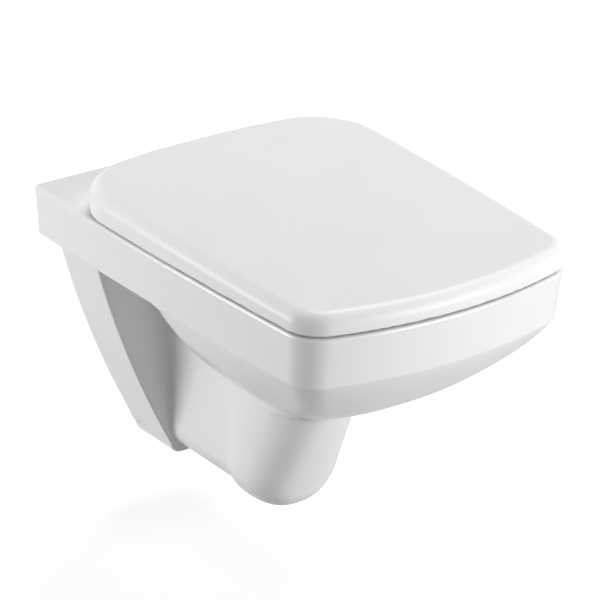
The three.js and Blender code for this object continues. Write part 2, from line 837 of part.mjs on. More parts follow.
// A cap over the screw head: a box with rounded edges, open below.
function hingeCapGeometry() {
  const front = basePlateFront - hingeCapRound;
  const back = basePlateBack + riserThickness + fitGap;
  const bottom = plateTop + fitGap;
  const box = (inset, z) => {
    const half = postWidth / 2 - inset;
    const round = hingeCapCorner - inset;
    const corners = [[1, -back - inset], [-1, -back - inset], [-1, inset - front], [1, inset - front]];
    const turns = [0, 1, 2, 3].map((turn) => turn * Math.PI / 2);
    return corners.flatMap(([sign, y], i) => {
      const centre = new THREE.Vector2(sign * (half - round), y + (i < 2 ? -round : round));
      return arcPoints(centre, round, turns[i], turns[i] + Math.PI / 2, capCornerSteps);
    }).map(([x, y]) => [x, y, z]);
  };
  const top = bottom + hingeCapHeight;
  const outer = solid(loft([box(0, bottom), box(0, top - hingeCapRound), box(hingeCapRound, top)]));
  const inner = solid(loft([box(hingeCapWall, bottom - cutOverrun), box(hingeCapWall, top - hingeCapWall)]));
  return geometryOf(outer.subtract(inner));
}

function addHingeFixings(name, side) {
  const place = (geometry) => geometry.translate(side * hingeX, 0, 0);
  const overHole = (geometry) => place(geometry.translate(0, -seatHoleReach, 0));
  const headBottom = plateTop + fitGap;
  const headTop = headBottom + screwHeadHeight;
  const expanderBottom = rimHeight - fitGap - expanderLength;
  const coneTop = expanderBottom - fitGap;

  addPiece(`hinge_gasket_${name}`, place(footprint(gasketThickness).translate(0, 0, gasketBottom)),
    rubberFinish);
  addPiece(`hinge_bracket_${name}`, place(bracketGeometry()), chromeFinish);
  addPiece(`hinge_cap_${name}`, place(hingeCapGeometry()), chromeFinish);
  addPiece(`seat_screw_${name}`, overHole(turned([
    [0, headBottom - screwLength], [screwRadius, headBottom - screwLength], [screwRadius, headBottom],
    [screwHeadRadius, headBottom], [screwHeadRadius, headTop - screwHeadHeight / 3],
    [screwHeadRadius - screwHeadHeight / 3, headTop], [0, headTop],
  ])), steelFinish);
  addPiece(`seat_expander_${name}`, overHole(turnedRing([
    [screwHole, expanderBottom], [seatHoleRadius - fitGap, expanderBottom],
    [seatHoleRadius - fitGap, rimHeight - fitGap], [screwHole, rimHeight - fitGap],
  ])), rubberFinish);
  addPiece(`seat_cone_nut_${name}`, overHole(turnedRing([
    [screwHole, coneTop - coneNutLength], [coneNutFootRadius, coneTop - coneNutLength],
    [coneNutTipRadius, coneTop], [screwHole, coneTop],
  ])), brassFinish);
  const pinHalf = postWidth / 2 + lugGap + lugWidth;
  addPiece(`hinge_pin_${name}`, place(barrel(pinRadius, -pinHalf, pinHalf)), steelFinish);
}

for (const [name, side] of sides) addHingeFixings(name, side);

// Lugs of the lid and the seat: the lid's lie inside the brackets, the seat's outside them
const lidLugOuter = hingeX - postWidth / 2 - lugGap;
const lidLugInner = lidLugOuter - lugWidth;
const seatLugInner = hingeX + postWidth / 2 + lugGap;
const seatLugOuter = seatLugInner + lugWidth;
const damperBore = damperRadius + fitGap;

const damperSide = { lid: 1, seat: -1 };

// Cuts the pin's bore in a lug, and on the damper's side also the damper's chamber.
function boreLug(body, inner, outer, side, hasDamper) {
  const bore = barrel(pinBore, side * (inner - cutOverrun), side * (outer + cutOverrun));
  const bored = body.subtract(solid(bore));
  if (!hasDamper) return bored;
  const chamber = barrel(damperBore, side * (inner - cutOverrun), side * (outer + cutOverrun), boreSides);
  return bored.subtract(solid(chamber));
}

// A damper: a drum between the pin and its lug.
function addDamper(name, inner, outer, side) {
  const drum = solid(barrel(damperRadius, side * inner, side * outer));
  const bore = solid(barrel(pinBore, side * (inner - cutOverrun), side * (outer + cutOverrun)));
  addPiece(name, geometryOf(drum.subtract(bore)), greyPlasticFinish);
}

// Lid

const lidOutline = {
  halfWidth: panWidth / 2 + lidOverhang, widest: straightSide, bow: sideBow + lidOverhang,
  end: panLength + lidOverhang, endBow: frontBow + lidOverhang, corner: frontCorner + lidOverhang,
  back: lidBack, backBow: lidBackBow, backCorner: panWidth * lidBackCornerShare,
};

const lidTop = (y) => rimHeight + lidTopAtMiddle + lidSlopeShare * (y + lidMiddle);

// A ring of the lid at a drop below its sloping top.
const lidRing = (inset, drop) => bowedOutline(lidOutline, inset).map(([x, y]) => [x, y, lidTop(y) - drop]);

function lidShell() {
  const shoulder = (radius, wall) => shoulderAngles.map((angle) =>
    lidRing(wall + radius * (1 - Math.cos(angle)), wall + radius * (1 - Math.sin(angle))));
  const middle = -(lidBack + lidOutline.end) / 2;
  const crownRing = (share) => lidRing(lidShoulder, 0).map(([x, y, z]) => [
    x * share, middle + (y - middle) * share,
    z + (lidTop(middle) - lidTop(y)) * (1 - share) + lidCrown * (1 - share ** 2),
  ]);
  const outer = solid(loft([
    atHeight(bowedOutline(lidOutline, lidEdgeRound), rimHeight + lidBottom),
    atHeight(bowedOutline(lidOutline), rimHeight + lidBottom + lidEdgeRound),
    ...shoulder(lidShoulder, 0),
    ...crownShares.map(crownRing),
  ]));
  const inner = solid(loft([
    atHeight(bowedOutline(lidOutline, lidWall), rimHeight + lidBottom - cutOverrun),
    ...shoulder(lidShoulder - lidWall, lidWall),
  ]));
  const relief = solid(block(
    [-panWidth, -lidBackReliefReach, rimHeight],
    [panWidth, cutOverrun - lidBack + lidWall, rimHeight + lidBackRelief]));
  return outer.subtract(inner).subtract(relief);
}

function lidGeometry() {
  let body = lidShell();
  const panelInside = lidTop(-hingeAxisReach) - lidWall;
  for (const [, side] of sides) {
    const lug = solid(barrel(barrelRadius, side * lidLugInner, side * lidLugOuter));
    const web = solid(block(
      [side * lidLugInner, barrelRadius - hingeAxisReach, panelInside - lidWebDrop],
      [side * lidLugOuter, -hingeAxisReach - lidWebReach, panelInside + lidWall / 2]));
    const notch = solid(block(
      [side * (lidLugInner - lidNotchMargin), -hingeAxisReach - lidNotchMargin, rimHeight],
      [side * (seatLugOuter + lidNotchMargin), -lidBack + cutOverrun, panelInside]));
    body = body.subtract(notch).add(lug).add(web);
    body = boreLug(body, lidLugInner, lidLugOuter, side, side === damperSide.lid);
  }
  return geometryOf(body);
}

addPiece('lid', lidGeometry(), duroplastFinish);
addDamper('lid_damper', lidLugInner, lidLugOuter, damperSide.lid);

// Seat ring

const seatInset = lidWall + seatSideGap;
const seatOutline = {
  ...lidOutline,
  halfWidth: lidOutline.halfWidth - seatInset, bow: lidOutline.bow - seatInset,
  end: lidOutline.end - seatInset, endBow: lidOutline.endBow - seatInset,
  corner: lidOutline.corner - seatInset,
  back: seatBack, backBow: seatBackBow, backCorner: seatBackCorner,
};
const seatOpening = {
  ...openingOutline,
  halfWidth: seatOpeningHalfWidth, end: seatOpeningFront, back: seatOpeningBack,
  corner: seatOpeningCorner, backCorner: seatOpeningCorner,
};

const seatTop = (y) => lidTop(y) - lidWall - seatTopGap;

function seatGeometry() {
  const bottom = rimHeight + seatBottom;
  const topRing = (outline, inset, drop) =>
    bowedOutline(outline, inset).map(([x, y]) => [x, y, seatTop(y) - drop]);
  const rounded = (outline, radius, sign) => roundAngles.map((angle) =>
    topRing(outline, sign * radius * (1 - Math.cos(angle)), radius * (1 - Math.sin(angle))));
  const underside = (outline, sign) => [
    atHeight(bowedOutline(outline, 0), bottom + seatUnderRound),
    atHeight(bowedOutline(outline, sign * seatUnderRound), bottom),
  ];
  const rings = [
    ...underside(seatOutline, 1).reverse(),
    ...rounded(seatOutline, seatOuterRound, 1),
    ...rounded(seatOpening, seatInnerRound, -1).reverse(),
    ...underside(seatOpening, -1),
  ];
  let body = solid(loft(rings, true));
  for (const [, side] of sides) {
    const lug = solid(barrel(barrelRadius, side * seatLugInner, side * seatLugOuter));
    const arm = solid(block(
      [side * seatLugInner, -hingeAxisReach, axisZ - seatArmDrop],
      [side * seatLugOuter, -seatBack - seatArmOverlap, axisZ + seatArmRise]));
    body = boreLug(body.add(lug).add(arm), seatLugInner, seatLugOuter, side, side === damperSide.seat);
  }
  return geometryOf(body);
}

addPiece('seat_ring', seatGeometry(), duroplastFinish);
addDamper('seat_damper', seatLugInner, seatLugOuter, damperSide.seat);

// Buffers under the seat and under the lid

for (const [name, side] of sides) {
  const seatX = side * (seatOutline.halfWidth - seatBufferInset);
  const lidX = side * (seatOutline.halfWidth - lidBufferInset);
  for (const [place, seatY, lidY] of [
    ['front', -seatBufferFront, -lidBufferFront], ['rear', -seatBufferRear, -lidBufferRear],
  ]) {
    addPiece(`seat_buffer_${place}_${name}`,
      rod(seatBufferRadius, rimHeight + fitGap, rimHeight + seatBottom - fitGap)
        .translate(seatX, seatY, 0), rubberFinish);
    addPiece(`lid_buffer_${place}_${name}`,
      rod(lidBufferRadius, fitGap, seatTopGap - fitGap)
        .rotateX(Math.atan(lidSlopeShare)).translate(lidX, lidY, seatTop(lidY)), rubberFinish);
  }
}

export default object;
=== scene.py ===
# %% [markdown]
# # A wall hung toilet
#
# This notebook dresses a wall hung toilet: a pan of glazed china that is bolted to the wall, with
# a moulded seat and a wrap-over lid that close softly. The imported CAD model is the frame. It says
# where each piece is and how it moves, and everything made here rides on it.

# %% The frame
import json
import math

import bmesh
import bpy
import numpy as np
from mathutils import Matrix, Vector


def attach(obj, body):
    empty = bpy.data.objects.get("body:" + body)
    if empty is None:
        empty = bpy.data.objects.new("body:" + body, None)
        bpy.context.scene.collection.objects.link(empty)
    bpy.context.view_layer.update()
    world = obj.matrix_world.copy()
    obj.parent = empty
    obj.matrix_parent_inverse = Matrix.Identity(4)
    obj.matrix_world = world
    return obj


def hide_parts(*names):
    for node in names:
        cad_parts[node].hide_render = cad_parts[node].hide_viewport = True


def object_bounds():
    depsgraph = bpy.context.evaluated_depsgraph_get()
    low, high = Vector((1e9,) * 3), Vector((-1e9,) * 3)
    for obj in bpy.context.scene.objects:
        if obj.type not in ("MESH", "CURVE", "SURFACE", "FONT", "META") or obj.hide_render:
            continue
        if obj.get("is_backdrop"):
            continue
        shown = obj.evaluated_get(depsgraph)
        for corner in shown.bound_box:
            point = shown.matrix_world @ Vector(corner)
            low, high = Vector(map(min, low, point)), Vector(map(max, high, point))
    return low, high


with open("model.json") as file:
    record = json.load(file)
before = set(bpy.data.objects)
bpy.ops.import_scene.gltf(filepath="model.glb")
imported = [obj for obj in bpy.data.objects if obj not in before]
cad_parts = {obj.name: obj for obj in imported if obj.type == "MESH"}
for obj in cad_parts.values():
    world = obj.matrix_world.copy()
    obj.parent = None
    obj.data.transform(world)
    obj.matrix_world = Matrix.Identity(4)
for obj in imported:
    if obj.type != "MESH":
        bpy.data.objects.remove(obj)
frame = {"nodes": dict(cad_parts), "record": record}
bpy.context.view_layer.update()
cad_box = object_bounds()
print("CAD box", [round(v, 4) for corner in cad_box for v in corner])

# %% [markdown]
# ## Sizes of the pan
#
# A toilet pan is one casting of vitreous china. Its sizes come from the CAD frame: the rim lies
# 80 mm over the wall bolts, and everything on the pan is measured down from the rim or out from
# the wall. The names below keep those real sizes, in metres, as a drawing would.

# %% Sizes of the pan
mm = 0.001
rim = 80 * mm
pan_half_width, pan_length = 175 * mm, 527 * mm
side_bow, front_bow, front_corner, widest = 6000 * mm, 470 * mm, 42 * mm, 170 * mm
band_depth, band_side_draft, band_front_draft = 57.5 * mm, 4 * mm, 10 * mm
crease = rim - band_depth
rim_round, lip_round = 4 * mm, 2.5 * mm

# %% [markdown]
# ## An outline made of arcs
#
# Seen from above, the rim, the seat and the lid share one kind of outline: long sides that are
# almost straight, ends that bow a little, and round corners between them. Two big arcs and a small
# one that touches both draw each quarter. The same function gives all the outlines, so that the
# gaps between the pieces stay even, as they do on the real product.

# %% An outline made of arcs
def arc(centre, radius, start, stop, steps):
    """Points along an arc, from one angle to another."""
    angles = np.linspace(start, stop, steps + 1)
    return np.stack([centre[0] + radius * np.cos(angles), centre[1] + radius * np.sin(angles)], 1)


def touching(half_width, widest_at, bow, end, end_bow, corner):
    """Where the side, end and corner arcs of a quarter have their centres, and where they touch."""
    side_centre = np.array([half_width - bow, -widest_at])
    end_centre = np.array([0.0, end_bow - end])
    to_side, to_end = bow - corner, end_bow - corner
    between = end_centre - side_centre
    span = np.linalg.norm(between)
    along = (to_side**2 - to_end**2 + span**2) / (2 * span)
    across = math.sqrt(to_side**2 - along**2)
    step = between / span
    corner_centre = side_centre + step * along + np.array([step[1], -step[0]]) * across
    side_angle = math.atan2(*(corner_centre - side_centre)[::-1])
    end_angle = math.atan2(*(corner_centre - end_centre)[::-1])
    return side_centre, end_centre, corner_centre, side_angle, end_angle


def quarter(steps, **sizes):
    """One front quarter of an outline: side arc, corner arc and end arc that touch each other."""
    side_centre, end_centre, corner_centre, side_angle, end_angle = touching(**sizes)
    return np.concatenate([
        arc(side_centre, sizes["bow"], 0, side_angle, steps),
        arc(corner_centre, sizes["corner"], side_angle, end_angle, 2 * steps)[1:],
        arc(end_centre, sizes["end_bow"], end_angle, -math.pi / 2, steps)[1:],
    ])


def quarters(spec, inset=0.0):
    """The sizes of an outline's front quarter and of its back quarter, turned to face forwards."""
    shared = dict(half_width=spec["half_width"] - inset, widest_at=spec["widest"],
                  bow=spec["bow"] - inset)
    front = dict(shared, end=spec["front"] - inset, end_bow=spec["front_bow"] - inset,
                 corner=spec["front_corner"] - inset)
    back = dict(shared, end=2 * spec["widest"] - spec["back"] - inset,
                end_bow=spec["back_bow"] - inset, corner=spec["back_corner"] - inset)
    return front, back


def outline(spec, inset=0.0, steps=12):
    """A closed outline from its front and back quarters and their mirror images."""
    front, back = [quarter(steps, **sizes) for sizes in quarters(spec, inset)]
    back[:, 1] = -2 * spec["widest"] - back[:, 1]
    half = np.concatenate([back[::-1][:-1], front])
    other = half[::-1][1:-1] * np.array([-1, 1])
    return np.concatenate([half, other])


# %% [markdown]
# ## The pan as a field of distances
#
# Glaze flows, and a plaster mould can't hold a sharp inner corner, so every place where the bowl,
# the neck, the sump and the wall flange meet is a soft fillet. Boolean cuts between meshes give
# hard, ragged seams there. So the pan is first described by functions that say, for any point,
# how far it is from the surface: negative in the china, positive outside it. Two shapes are then
# blended by a formula that rounds the place where they meet by a chosen radius.

# %% Blends between shapes
tiny = 1e-9


def joined(a, b, radius):
    """Both shapes together, with a fillet of this radius where they meet."""
    safe = np.maximum(radius, tiny)
    corner = np.hypot(np.maximum(safe - a, 0), np.maximum(safe - b, 0))
    return np.maximum(safe, np.minimum(a, b)) - corner


def common(a, b, radius):
    """What two shapes share, with its new edge rounded by this radius."""
    return -joined(-a, -b, radius)


def cut(a, b, radius):
    """The first shape without the second, with the cut's edge rounded."""
    return common(a, -b, radius)


def box_field(p, low, high, radius):
    """A box between two corners, with rounded edges."""
    centre, half = (np.array(low) + high) / 2, (np.array(high) - low) / 2 - radius
    away = np.abs(p - centre) - half
    outside = np.linalg.norm(np.maximum(away, 0), axis=1)
    return outside + np.minimum(away.max(axis=1), 0) - radius


def bore_field(p, x, z, radius, reach):
    """A round bore from the wall face outwards."""
    return np.maximum(np.hypot(p[:, 0] - x, p[:, 2] - z) - radius, -(p[:, 1] + reach))


def smooth_share(value, low, high):
    """0 below low, 1 above high, and an even S between them."""
    share = np.clip((value - low) / (high - low), 0, 1)
    return share * share * (3 - 2 * share)


# %% [markdown]
# A lofted shape is a stack of outlines, one for each level. Round a vertical line inside the
# shape, each level is a list of radii by angle. The table of those radii, read between its rows
# and columns, gives the distance to the surface from any point. Where a stack runs almost level,
# such a distance says little, so its slope is held above a least value.

# %% A stack of outlines as a field
table_angles, least_slope, least_radius = 1440, 0.25, 0.1 * mm


def radii_of(ring, centre_y, angles):
    """The radii of an outline round a point on the middle plane, at some angles."""
    x, y = ring[:, 0], ring[:, 1] - centre_y
    angle = np.arctan2(y, x)
    order = np.argsort(angle)
    return np.interp(angles, angle[order], np.hypot(x, y)[order], period=2 * math.pi)


class Stack:
    """A lofted shape round a vertical line: the radius by level and angle."""

    def __init__(self, levels, centre_y):
        self.centre_y = centre_y
        self.heights = np.array([z for z, _ in levels])
        self.angles = np.linspace(-math.pi, math.pi, table_angles + 1)
        self.radii = np.array([radii_of(ring, centre_y, self.angles) for _, ring in levels])
        down = np.gradient(self.radii, self.heights, axis=0)
        round_about = np.gradient(self.radii, self.angles, axis=1) / np.maximum(self.radii, least_radius)
        self.slope = np.maximum(1 / np.sqrt(1 + down**2 + round_about**2), least_slope)

    def __call__(self, p):
        x, y = p[:, 0], p[:, 1] - self.centre_y
        angle, away = np.arctan2(y, x), np.hypot(x, y)
        row = np.interp(p[:, 2], self.heights, np.arange(len(self.heights)))
        column = (angle + math.pi) / (2 * math.pi) * (len(self.angles) - 1)
        r0 = np.minimum(row.astype(int), len(self.heights) - 2)
        c0 = np.minimum(column.astype(int), len(self.angles) - 2)
        fr, fc = row - r0, column - c0

        def read(table):
            low = table[r0, c0] * (1 - fc) + table[r0, c0 + 1] * fc
            high = table[r0 + 1, c0] * (1 - fc) + table[r0 + 1, c0 + 1] * fc
            return low * (1 - fr) + high * fr

        side = (away - read(self.radii)) * read(self.slope)
        ends = np.maximum(self.heights[0] - p[:, 2], p[:, 2] - self.heights[-1])
        return side, ends


# %% [markdown]
# ## The band and the bowl
#
# The upper band of the pan falls almost straight from the rim to a crease. Below it the bowl
# narrows: slowly at first and then ever faster, down to a squarish oval underside. The same rule
# with a smaller outline gives the inside of the bowl, so the china has an even wall.

# %% The band and the bowl
rim_spec = dict(half_width=pan_half_width, widest=widest, bow=side_bow, front=pan_length,
                front_bow=front_bow, front_corner=front_corner, back=-160 * mm,
                back_bow=front_bow, back_corner=front_corner)


def band_ring(share, inset=0.0):
    """The band's outline at a share of its depth. It goes on behind the wall plane."""
    spec = dict(rim_spec)
    spec["half_width"] -= band_side_draft * share
    spec["front"] -= band_front_draft * share
    spec["front_corner"] -= band_side_draft * share
    return outline(spec, inset, steps=48)


bowl_depth, bowl_leave, bowl_back = 149 * mm, 248 * mm, 145 * mm
under_half_width, under_front, under_back, under_power = 97 * mm, 404 * mm, 218 * mm, 3
taper_straight_share, taper_power = 0.43, 1.5
back_points, bowl_rows, rows_towards_foot = 400, 90, 1.6


def signed_power(value, power):
    return np.sign(value) * np.abs(value) ** power


def taper(share):
    """How far the bowl has narrowed at a share of its depth."""
    curved = 1 - np.maximum(1 - share**taper_power, 0) ** (1 / taper_power)
    return taper_straight_share * share + (1 - taper_straight_share) * curved


def oval(half_width, front, back, power=2.0, points=960):
    angle = np.linspace(0, 2 * math.pi, points, endpoint=False)
    x = half_width * signed_power(np.cos(angle), 2 / power)
    y = (front - back) / 2 * signed_power(np.sin(angle), 2 / power) - (front + back) / 2
    return np.stack([x, y], 1)


def bowl_ring(share, inset=0.0):
    """One level of the bowl, between the crease's outline and the underside's oval."""
    ring = band_ring(1.0, inset)
    front = ring[ring[:, 1] < -bowl_leave]
    side_x = np.abs(front[:, 0]).max()
    angle = np.linspace(0, math.pi, back_points)
    back = np.stack([side_x * np.cos(angle),
                     -bowl_leave + (bowl_leave - bowl_back - inset) * np.sin(angle)], 1)
    upper = np.concatenate([front, back])
    centre = -(under_front + under_back) / 2
    angle = np.arctan2(upper[:, 1] - centre, upper[:, 0])
    half_length = (under_front - under_back) / 2 - inset
    under = np.stack([
        (under_half_width - inset) * signed_power(np.cos(angle), 2 / under_power),
        centre + half_length * signed_power(np.sin(angle), 2 / under_power)], 1)
    return upper + (under - upper) * taper(share)


def bowl_levels(inset=0.0, lift=0.0):
    """The bowl's rings from its belly up to the crease."""
    shares = 1 - np.linspace(0, 1, bowl_rows) ** rows_towards_foot
    depth = bowl_depth - band_depth - lift
    return [(crease - depth * share, bowl_ring(share, inset)) for share in shares]


belly_back, belly_power = 236 * mm, 2.6
belly_sizes = np.array([(192, 46, 318), (171, 62, 351), (149, 86, 387), (110, 86, 387)]) * mm
belly = Stack([(rim - depth, oval(half_width, front, belly_back, belly_power))
               for depth, half_width, front in belly_sizes], centre_y=-290 * mm)
bowl_outside = Stack(bowl_levels(), centre_y=-300 * mm)
band_outside = Stack([(crease, band_ring(1.0)), (rim, band_ring(0.0))], centre_y=-200 * mm)

# %% [markdown]
# ## The sump, the neck and the wall flange
#
# Under the bowl hangs the sump, which hides the bend of the trap. Its front leans back and its
# foot is round. A neck with flat sides runs from it to the flange, a tall shield that stands
# against the wall and carries the two fixing bolts. Neck and sump share one side, so they are one
# stack of outlines: at each depth, whichever of the two is wider. Two slanting creases divide the
# side: behind the rear one it swings out to meet the flange, and before the other to meet the sump.

# %% The sump and the neck
pan_depth, sump_top_depth = 335 * mm, 140 * mm
sump_half_width, sump_power = 53.5 * mm, 2.5
sump_front_top, sump_front_foot = 343 * mm, 247 * mm
sump_back_top, sump_back_foot = 150 * mm, 162 * mm
sump_side_round, sump_end_round = 49 * mm, 24 * mm
neck_depth, neck_round, neck_reach, neck_turn = 323 * mm, 35 * mm, 200 * mm, 25 * mm
neck_depths = np.array([50, 150, 200, 340]) * mm
neck_half_widths = np.array([59, 53, 50, 49.5]) * mm
rear_crease, front_crease = np.array([[(192, 132), (279, 91)], [(199, 174), (272, 203)]]) * mm
rear_swing, front_swing = math.tan(math.radians(7)), math.tan(math.radians(2.5))
rear_span, front_span, side_step_ease = 60 * mm, 45 * mm, 2.5 * mm
behind_wall, past_neck, side_points = 60 * mm, 30 * mm, 200
foot_step_start, foot_step_end, foot_edge_round = 140 * mm, 205 * mm, 1.5 * mm
lower_centre = -205 * mm


def drawn_in(depth, foot, bend):
    """How far a side is drawn in at a depth, to round its lower edge."""
    return bend * (1 - math.sqrt(max(1 - (max(depth - foot + bend, 0) / bend) ** 2, 0)))


def crease_reach(crease, depth):
    """How far from the wall a crease in the neck's side runs, at a depth under the rim."""
    (depth_a, reach_a), (depth_b, reach_b) = crease
    return reach_a + (reach_b - reach_a) * (depth - depth_a) / (depth_b - depth_a)


def neck_side(reach, depth):
    """Half the neck's width at a reach from the wall, at one depth under the rim."""
    half = np.interp(depth, neck_depths, neck_half_widths)
    half = half + rear_swing * np.clip(crease_reach(rear_crease, depth) - reach, 0, rear_span)
    half = half + front_swing * np.clip(reach - crease_reach(front_crease, depth), 0, front_span)
    half = half - drawn_in(min(depth, neck_depth), neck_depth, neck_round)
    return half - np.maximum(reach - neck_reach, 0) ** 2 / (2 * neck_turn)


def lower_ring(depth):
    """The outline of neck and sump: the wider of the two, with the step between them eased."""
    share = np.clip((depth - sump_top_depth) / (pan_depth - sump_top_depth), 0, 1)
    side_in, end_in = [drawn_in(min(depth, pan_depth), pan_depth, bend)
                       for bend in (sump_side_round, sump_end_round)]
    front = sump_front_top + (sump_front_foot - sump_front_top) * share - end_in
    back = sump_back_top + (sump_back_foot - sump_back_top) * share + end_in
    reach = np.linspace(-behind_wall, neck_reach + past_neck, side_points)
    side = np.stack([neck_side(reach, depth), -reach], 1)
    neck_ring = np.concatenate([[(0, behind_wall)], side, [(0, -reach[-1])], side[::-1] * (-1, 1)])
    angles = np.linspace(-math.pi, math.pi, table_angles, endpoint=False)
    a = radii_of(oval(sump_half_width - side_in, front, back, sump_power), lower_centre, angles)
    b = radii_of(neck_ring, lower_centre, angles)
    radius = (a + b + np.sqrt((a - b) ** 2 + side_step_ease**2)) / 2
    return np.stack([radius * np.cos(angles), lower_centre + radius * np.sin(angles)], 1)


# The rows lie close together in the round foot and 3 mm apart above it
lower_depths = np.concatenate([[350], 335 - 50 * np.linspace(0, 1, 40) ** 2,
                               np.arange(282, 42, -3)]) * mm
lower = Stack([(rim - depth, lower_ring(depth)) for depth in lower_depths], lower_centre)


def lower_field(p):
    """Neck and sump: the shared side, and a foot that drops from the neck to the sump."""
    side, _ = lower(p)
    forward = smooth_share(-p[:, 1], foot_step_start, foot_step_end)
    foot = rim - neck_depth - (pan_depth - neck_depth) * forward
    return common(side, foot - p[:, 2], foot_edge_round)


# %% [markdown]
# The flange narrows towards its foot, and its edges bow out a little on the way. It is one slab
# with a sloping side, cut off at the face that the neck runs into.

# %% The wall flange
flange_depth, flange_bottom_depth, flange_foot_depth = 74 * mm, 325 * mm, 313 * mm
flange_top, flange_foot, flange_bulge = 147 * mm, 50 * mm, 9 * mm
flange_foot_round, flange_edge_round = 12 * mm, 2.5 * mm


def flange_edge(depth):
    share = (depth - band_depth) / (flange_foot_depth - band_depth)
    straight = flange_top + (flange_foot - flange_top) * share
    return straight + 4 * flange_bulge * share * (1 - share)


def flange_field(p):
    depth = np.clip(rim - p[:, 2], band_depth, flange_foot_depth)
    lean = (flange_top - flange_foot) / (flange_foot_depth - band_depth)
    side = (np.abs(p[:, 0]) - flange_edge(depth)) / math.hypot(1, lean)
    face = common(side, rim - flange_bottom_depth - p[:, 2], flange_foot_round)
    return common(face, -(p[:, 1] + flange_depth), flange_edge_round)


# %% [markdown]
# ## The inside of the bowl and the waterways
#
# Water enters at the back, runs round a channel under the rim behind a curtain of china, and
# washes down the bowl. It leaves through the trap: down under the bowl, up over the weir and out
# to the soil pipe. These hollows are cut from the outer shape.

# %% The opening, the channel and the chamber
opening_spec = dict(half_width=120 * mm, widest=310 * mm, bow=1500 * mm, front=479 * mm,
                    front_bow=330 * mm, front_corner=80 * mm, back=168 * mm, back_bow=330 * mm,
                    back_corner=80 * mm)
rim_wall, curtain_depth, curtain_wall, channel_width = 14 * mm, 45 * mm, 9 * mm, 18 * mm
bowl_wall, bowl_floor, chamber_top, well_depth = 13 * mm, 12 * mm, 36 * mm, 208 * mm
opening_round, inner_round, slit_round, curtain_round = 6 * mm, 3 * mm, 12 * mm, 2 * mm
opening = Stack([(-1.0, outline(opening_spec)), (1.0, outline(opening_spec))], centre_y=-323 * mm)
well = [
    (rim - well_depth, oval(29 * mm, 282 * mm, 214 * mm)),
    (rim - 180 * mm, oval(37 * mm, 300 * mm, 217 * mm)),
    (rim - 159 * mm, oval(49 * mm, 339 * mm, 232 * mm, 2.4)),
]
chamber_roof = [(rim - chamber_top, bowl_ring(0, bowl_wall))]
chamber = Stack(well + bowl_levels(bowl_wall, bowl_floor) + chamber_roof, centre_y=-257 * mm)

# %% [markdown]
# The trap is a round pipe along a smooth line. Behind the flange the casting is hollow, because
# thick china cracks when it dries and fires: under the deck, beside the inlet and over the foot.
# The bolts, the seat's fixings, the inlet and the outlet have plain round bores.

# %% The trap, bores and hollows
trap_radius, outlet_radius, outlet_depth = 28 * mm, 43 * mm, 180 * mm
trap_line = np.array([
    (243, 180), (243, 240), (232, 270), (206, 285), (179, 270), (168, 240), (158, 206), (128, 173),
    (94, 173), (60, 176), (30, 180), (-4, 180),
]) * mm
trap_wide_from, trap_wide_to = -128 * mm, -60 * mm
spigot_radius, spigot_gap_radius, spigot_length = 51 * mm, 66 * mm, 50 * mm
inlet_radius, inlet_height, inlet_length = 27.5 * mm, 35 * mm, 150 * mm
bolt_side, bolt_bore_radius = 90 * mm, 9.1 * mm
seat_hole_side, seat_hole_reach = 77.5 * mm, 113.5 * mm
seat_hole_radius, seat_hole_depth = 7 * mm, 30 * mm
foot_hollow = (-34 * mm, -112 * mm, rim - 309 * mm), (34 * mm, 50 * mm, rim - 260 * mm), 6 * mm
deck_hollow = (42 * mm, -128 * mm, rim - 43.5 * mm), (161 * mm, 50 * mm, rim - 14 * mm), 5 * mm
side_hollow_inner, side_hollow_wall, side_hollow_reach = 79 * mm, 14 * mm, 60 * mm
side_hollow_top, side_hollow_foot, side_hollow_round = 104 * mm, 212 * mm, 3 * mm
through, beyond = 1.0, 1.0
side_signs = (-1, 1)


def curve_through(points, steps=8):
    """A smooth line through points, as a Catmull-Rom spline."""
    ends = np.concatenate([[2 * points[0] - points[1]], points, [2 * points[-1] - points[-2]]])
    line = []
    for a, b, c, d in zip(ends, ends[1:], ends[2:], ends[3:]):
        for t in np.arange(steps) / steps:
            line.append(0.5 * (2 * b + (c - a) * t + (2 * a - 5 * b + 4 * c - d) * t * t
                               + (3 * b - a - 3 * c + d) * t**3))
    return np.array(line + [points[-1]])


def trap_field(p):
    """The waterway: the distance to its line less its radius there."""
    line = curve_through(trap_line)
    places = np.stack([0 * line[:, 0], -line[:, 0], rim - line[:, 1]], 1)
    widened = smooth_share(places[:, 1], trap_wide_from, trap_wide_to)
    radii = trap_radius + (outlet_radius - trap_radius) * widened
    radii[: len(radii) // 2] = trap_radius
    nearest = np.full(len(p), beyond)
    for a, b, ra, rb in zip(places, places[1:], radii, radii[1:]):
        along = b - a
        share = np.clip((p - a) @ along / (along @ along), 0, 1)
        away = np.linalg.norm(p - a - share[:, None] * along, axis=1)
        nearest = np.minimum(nearest, away - (ra + (rb - ra) * share))
    return nearest


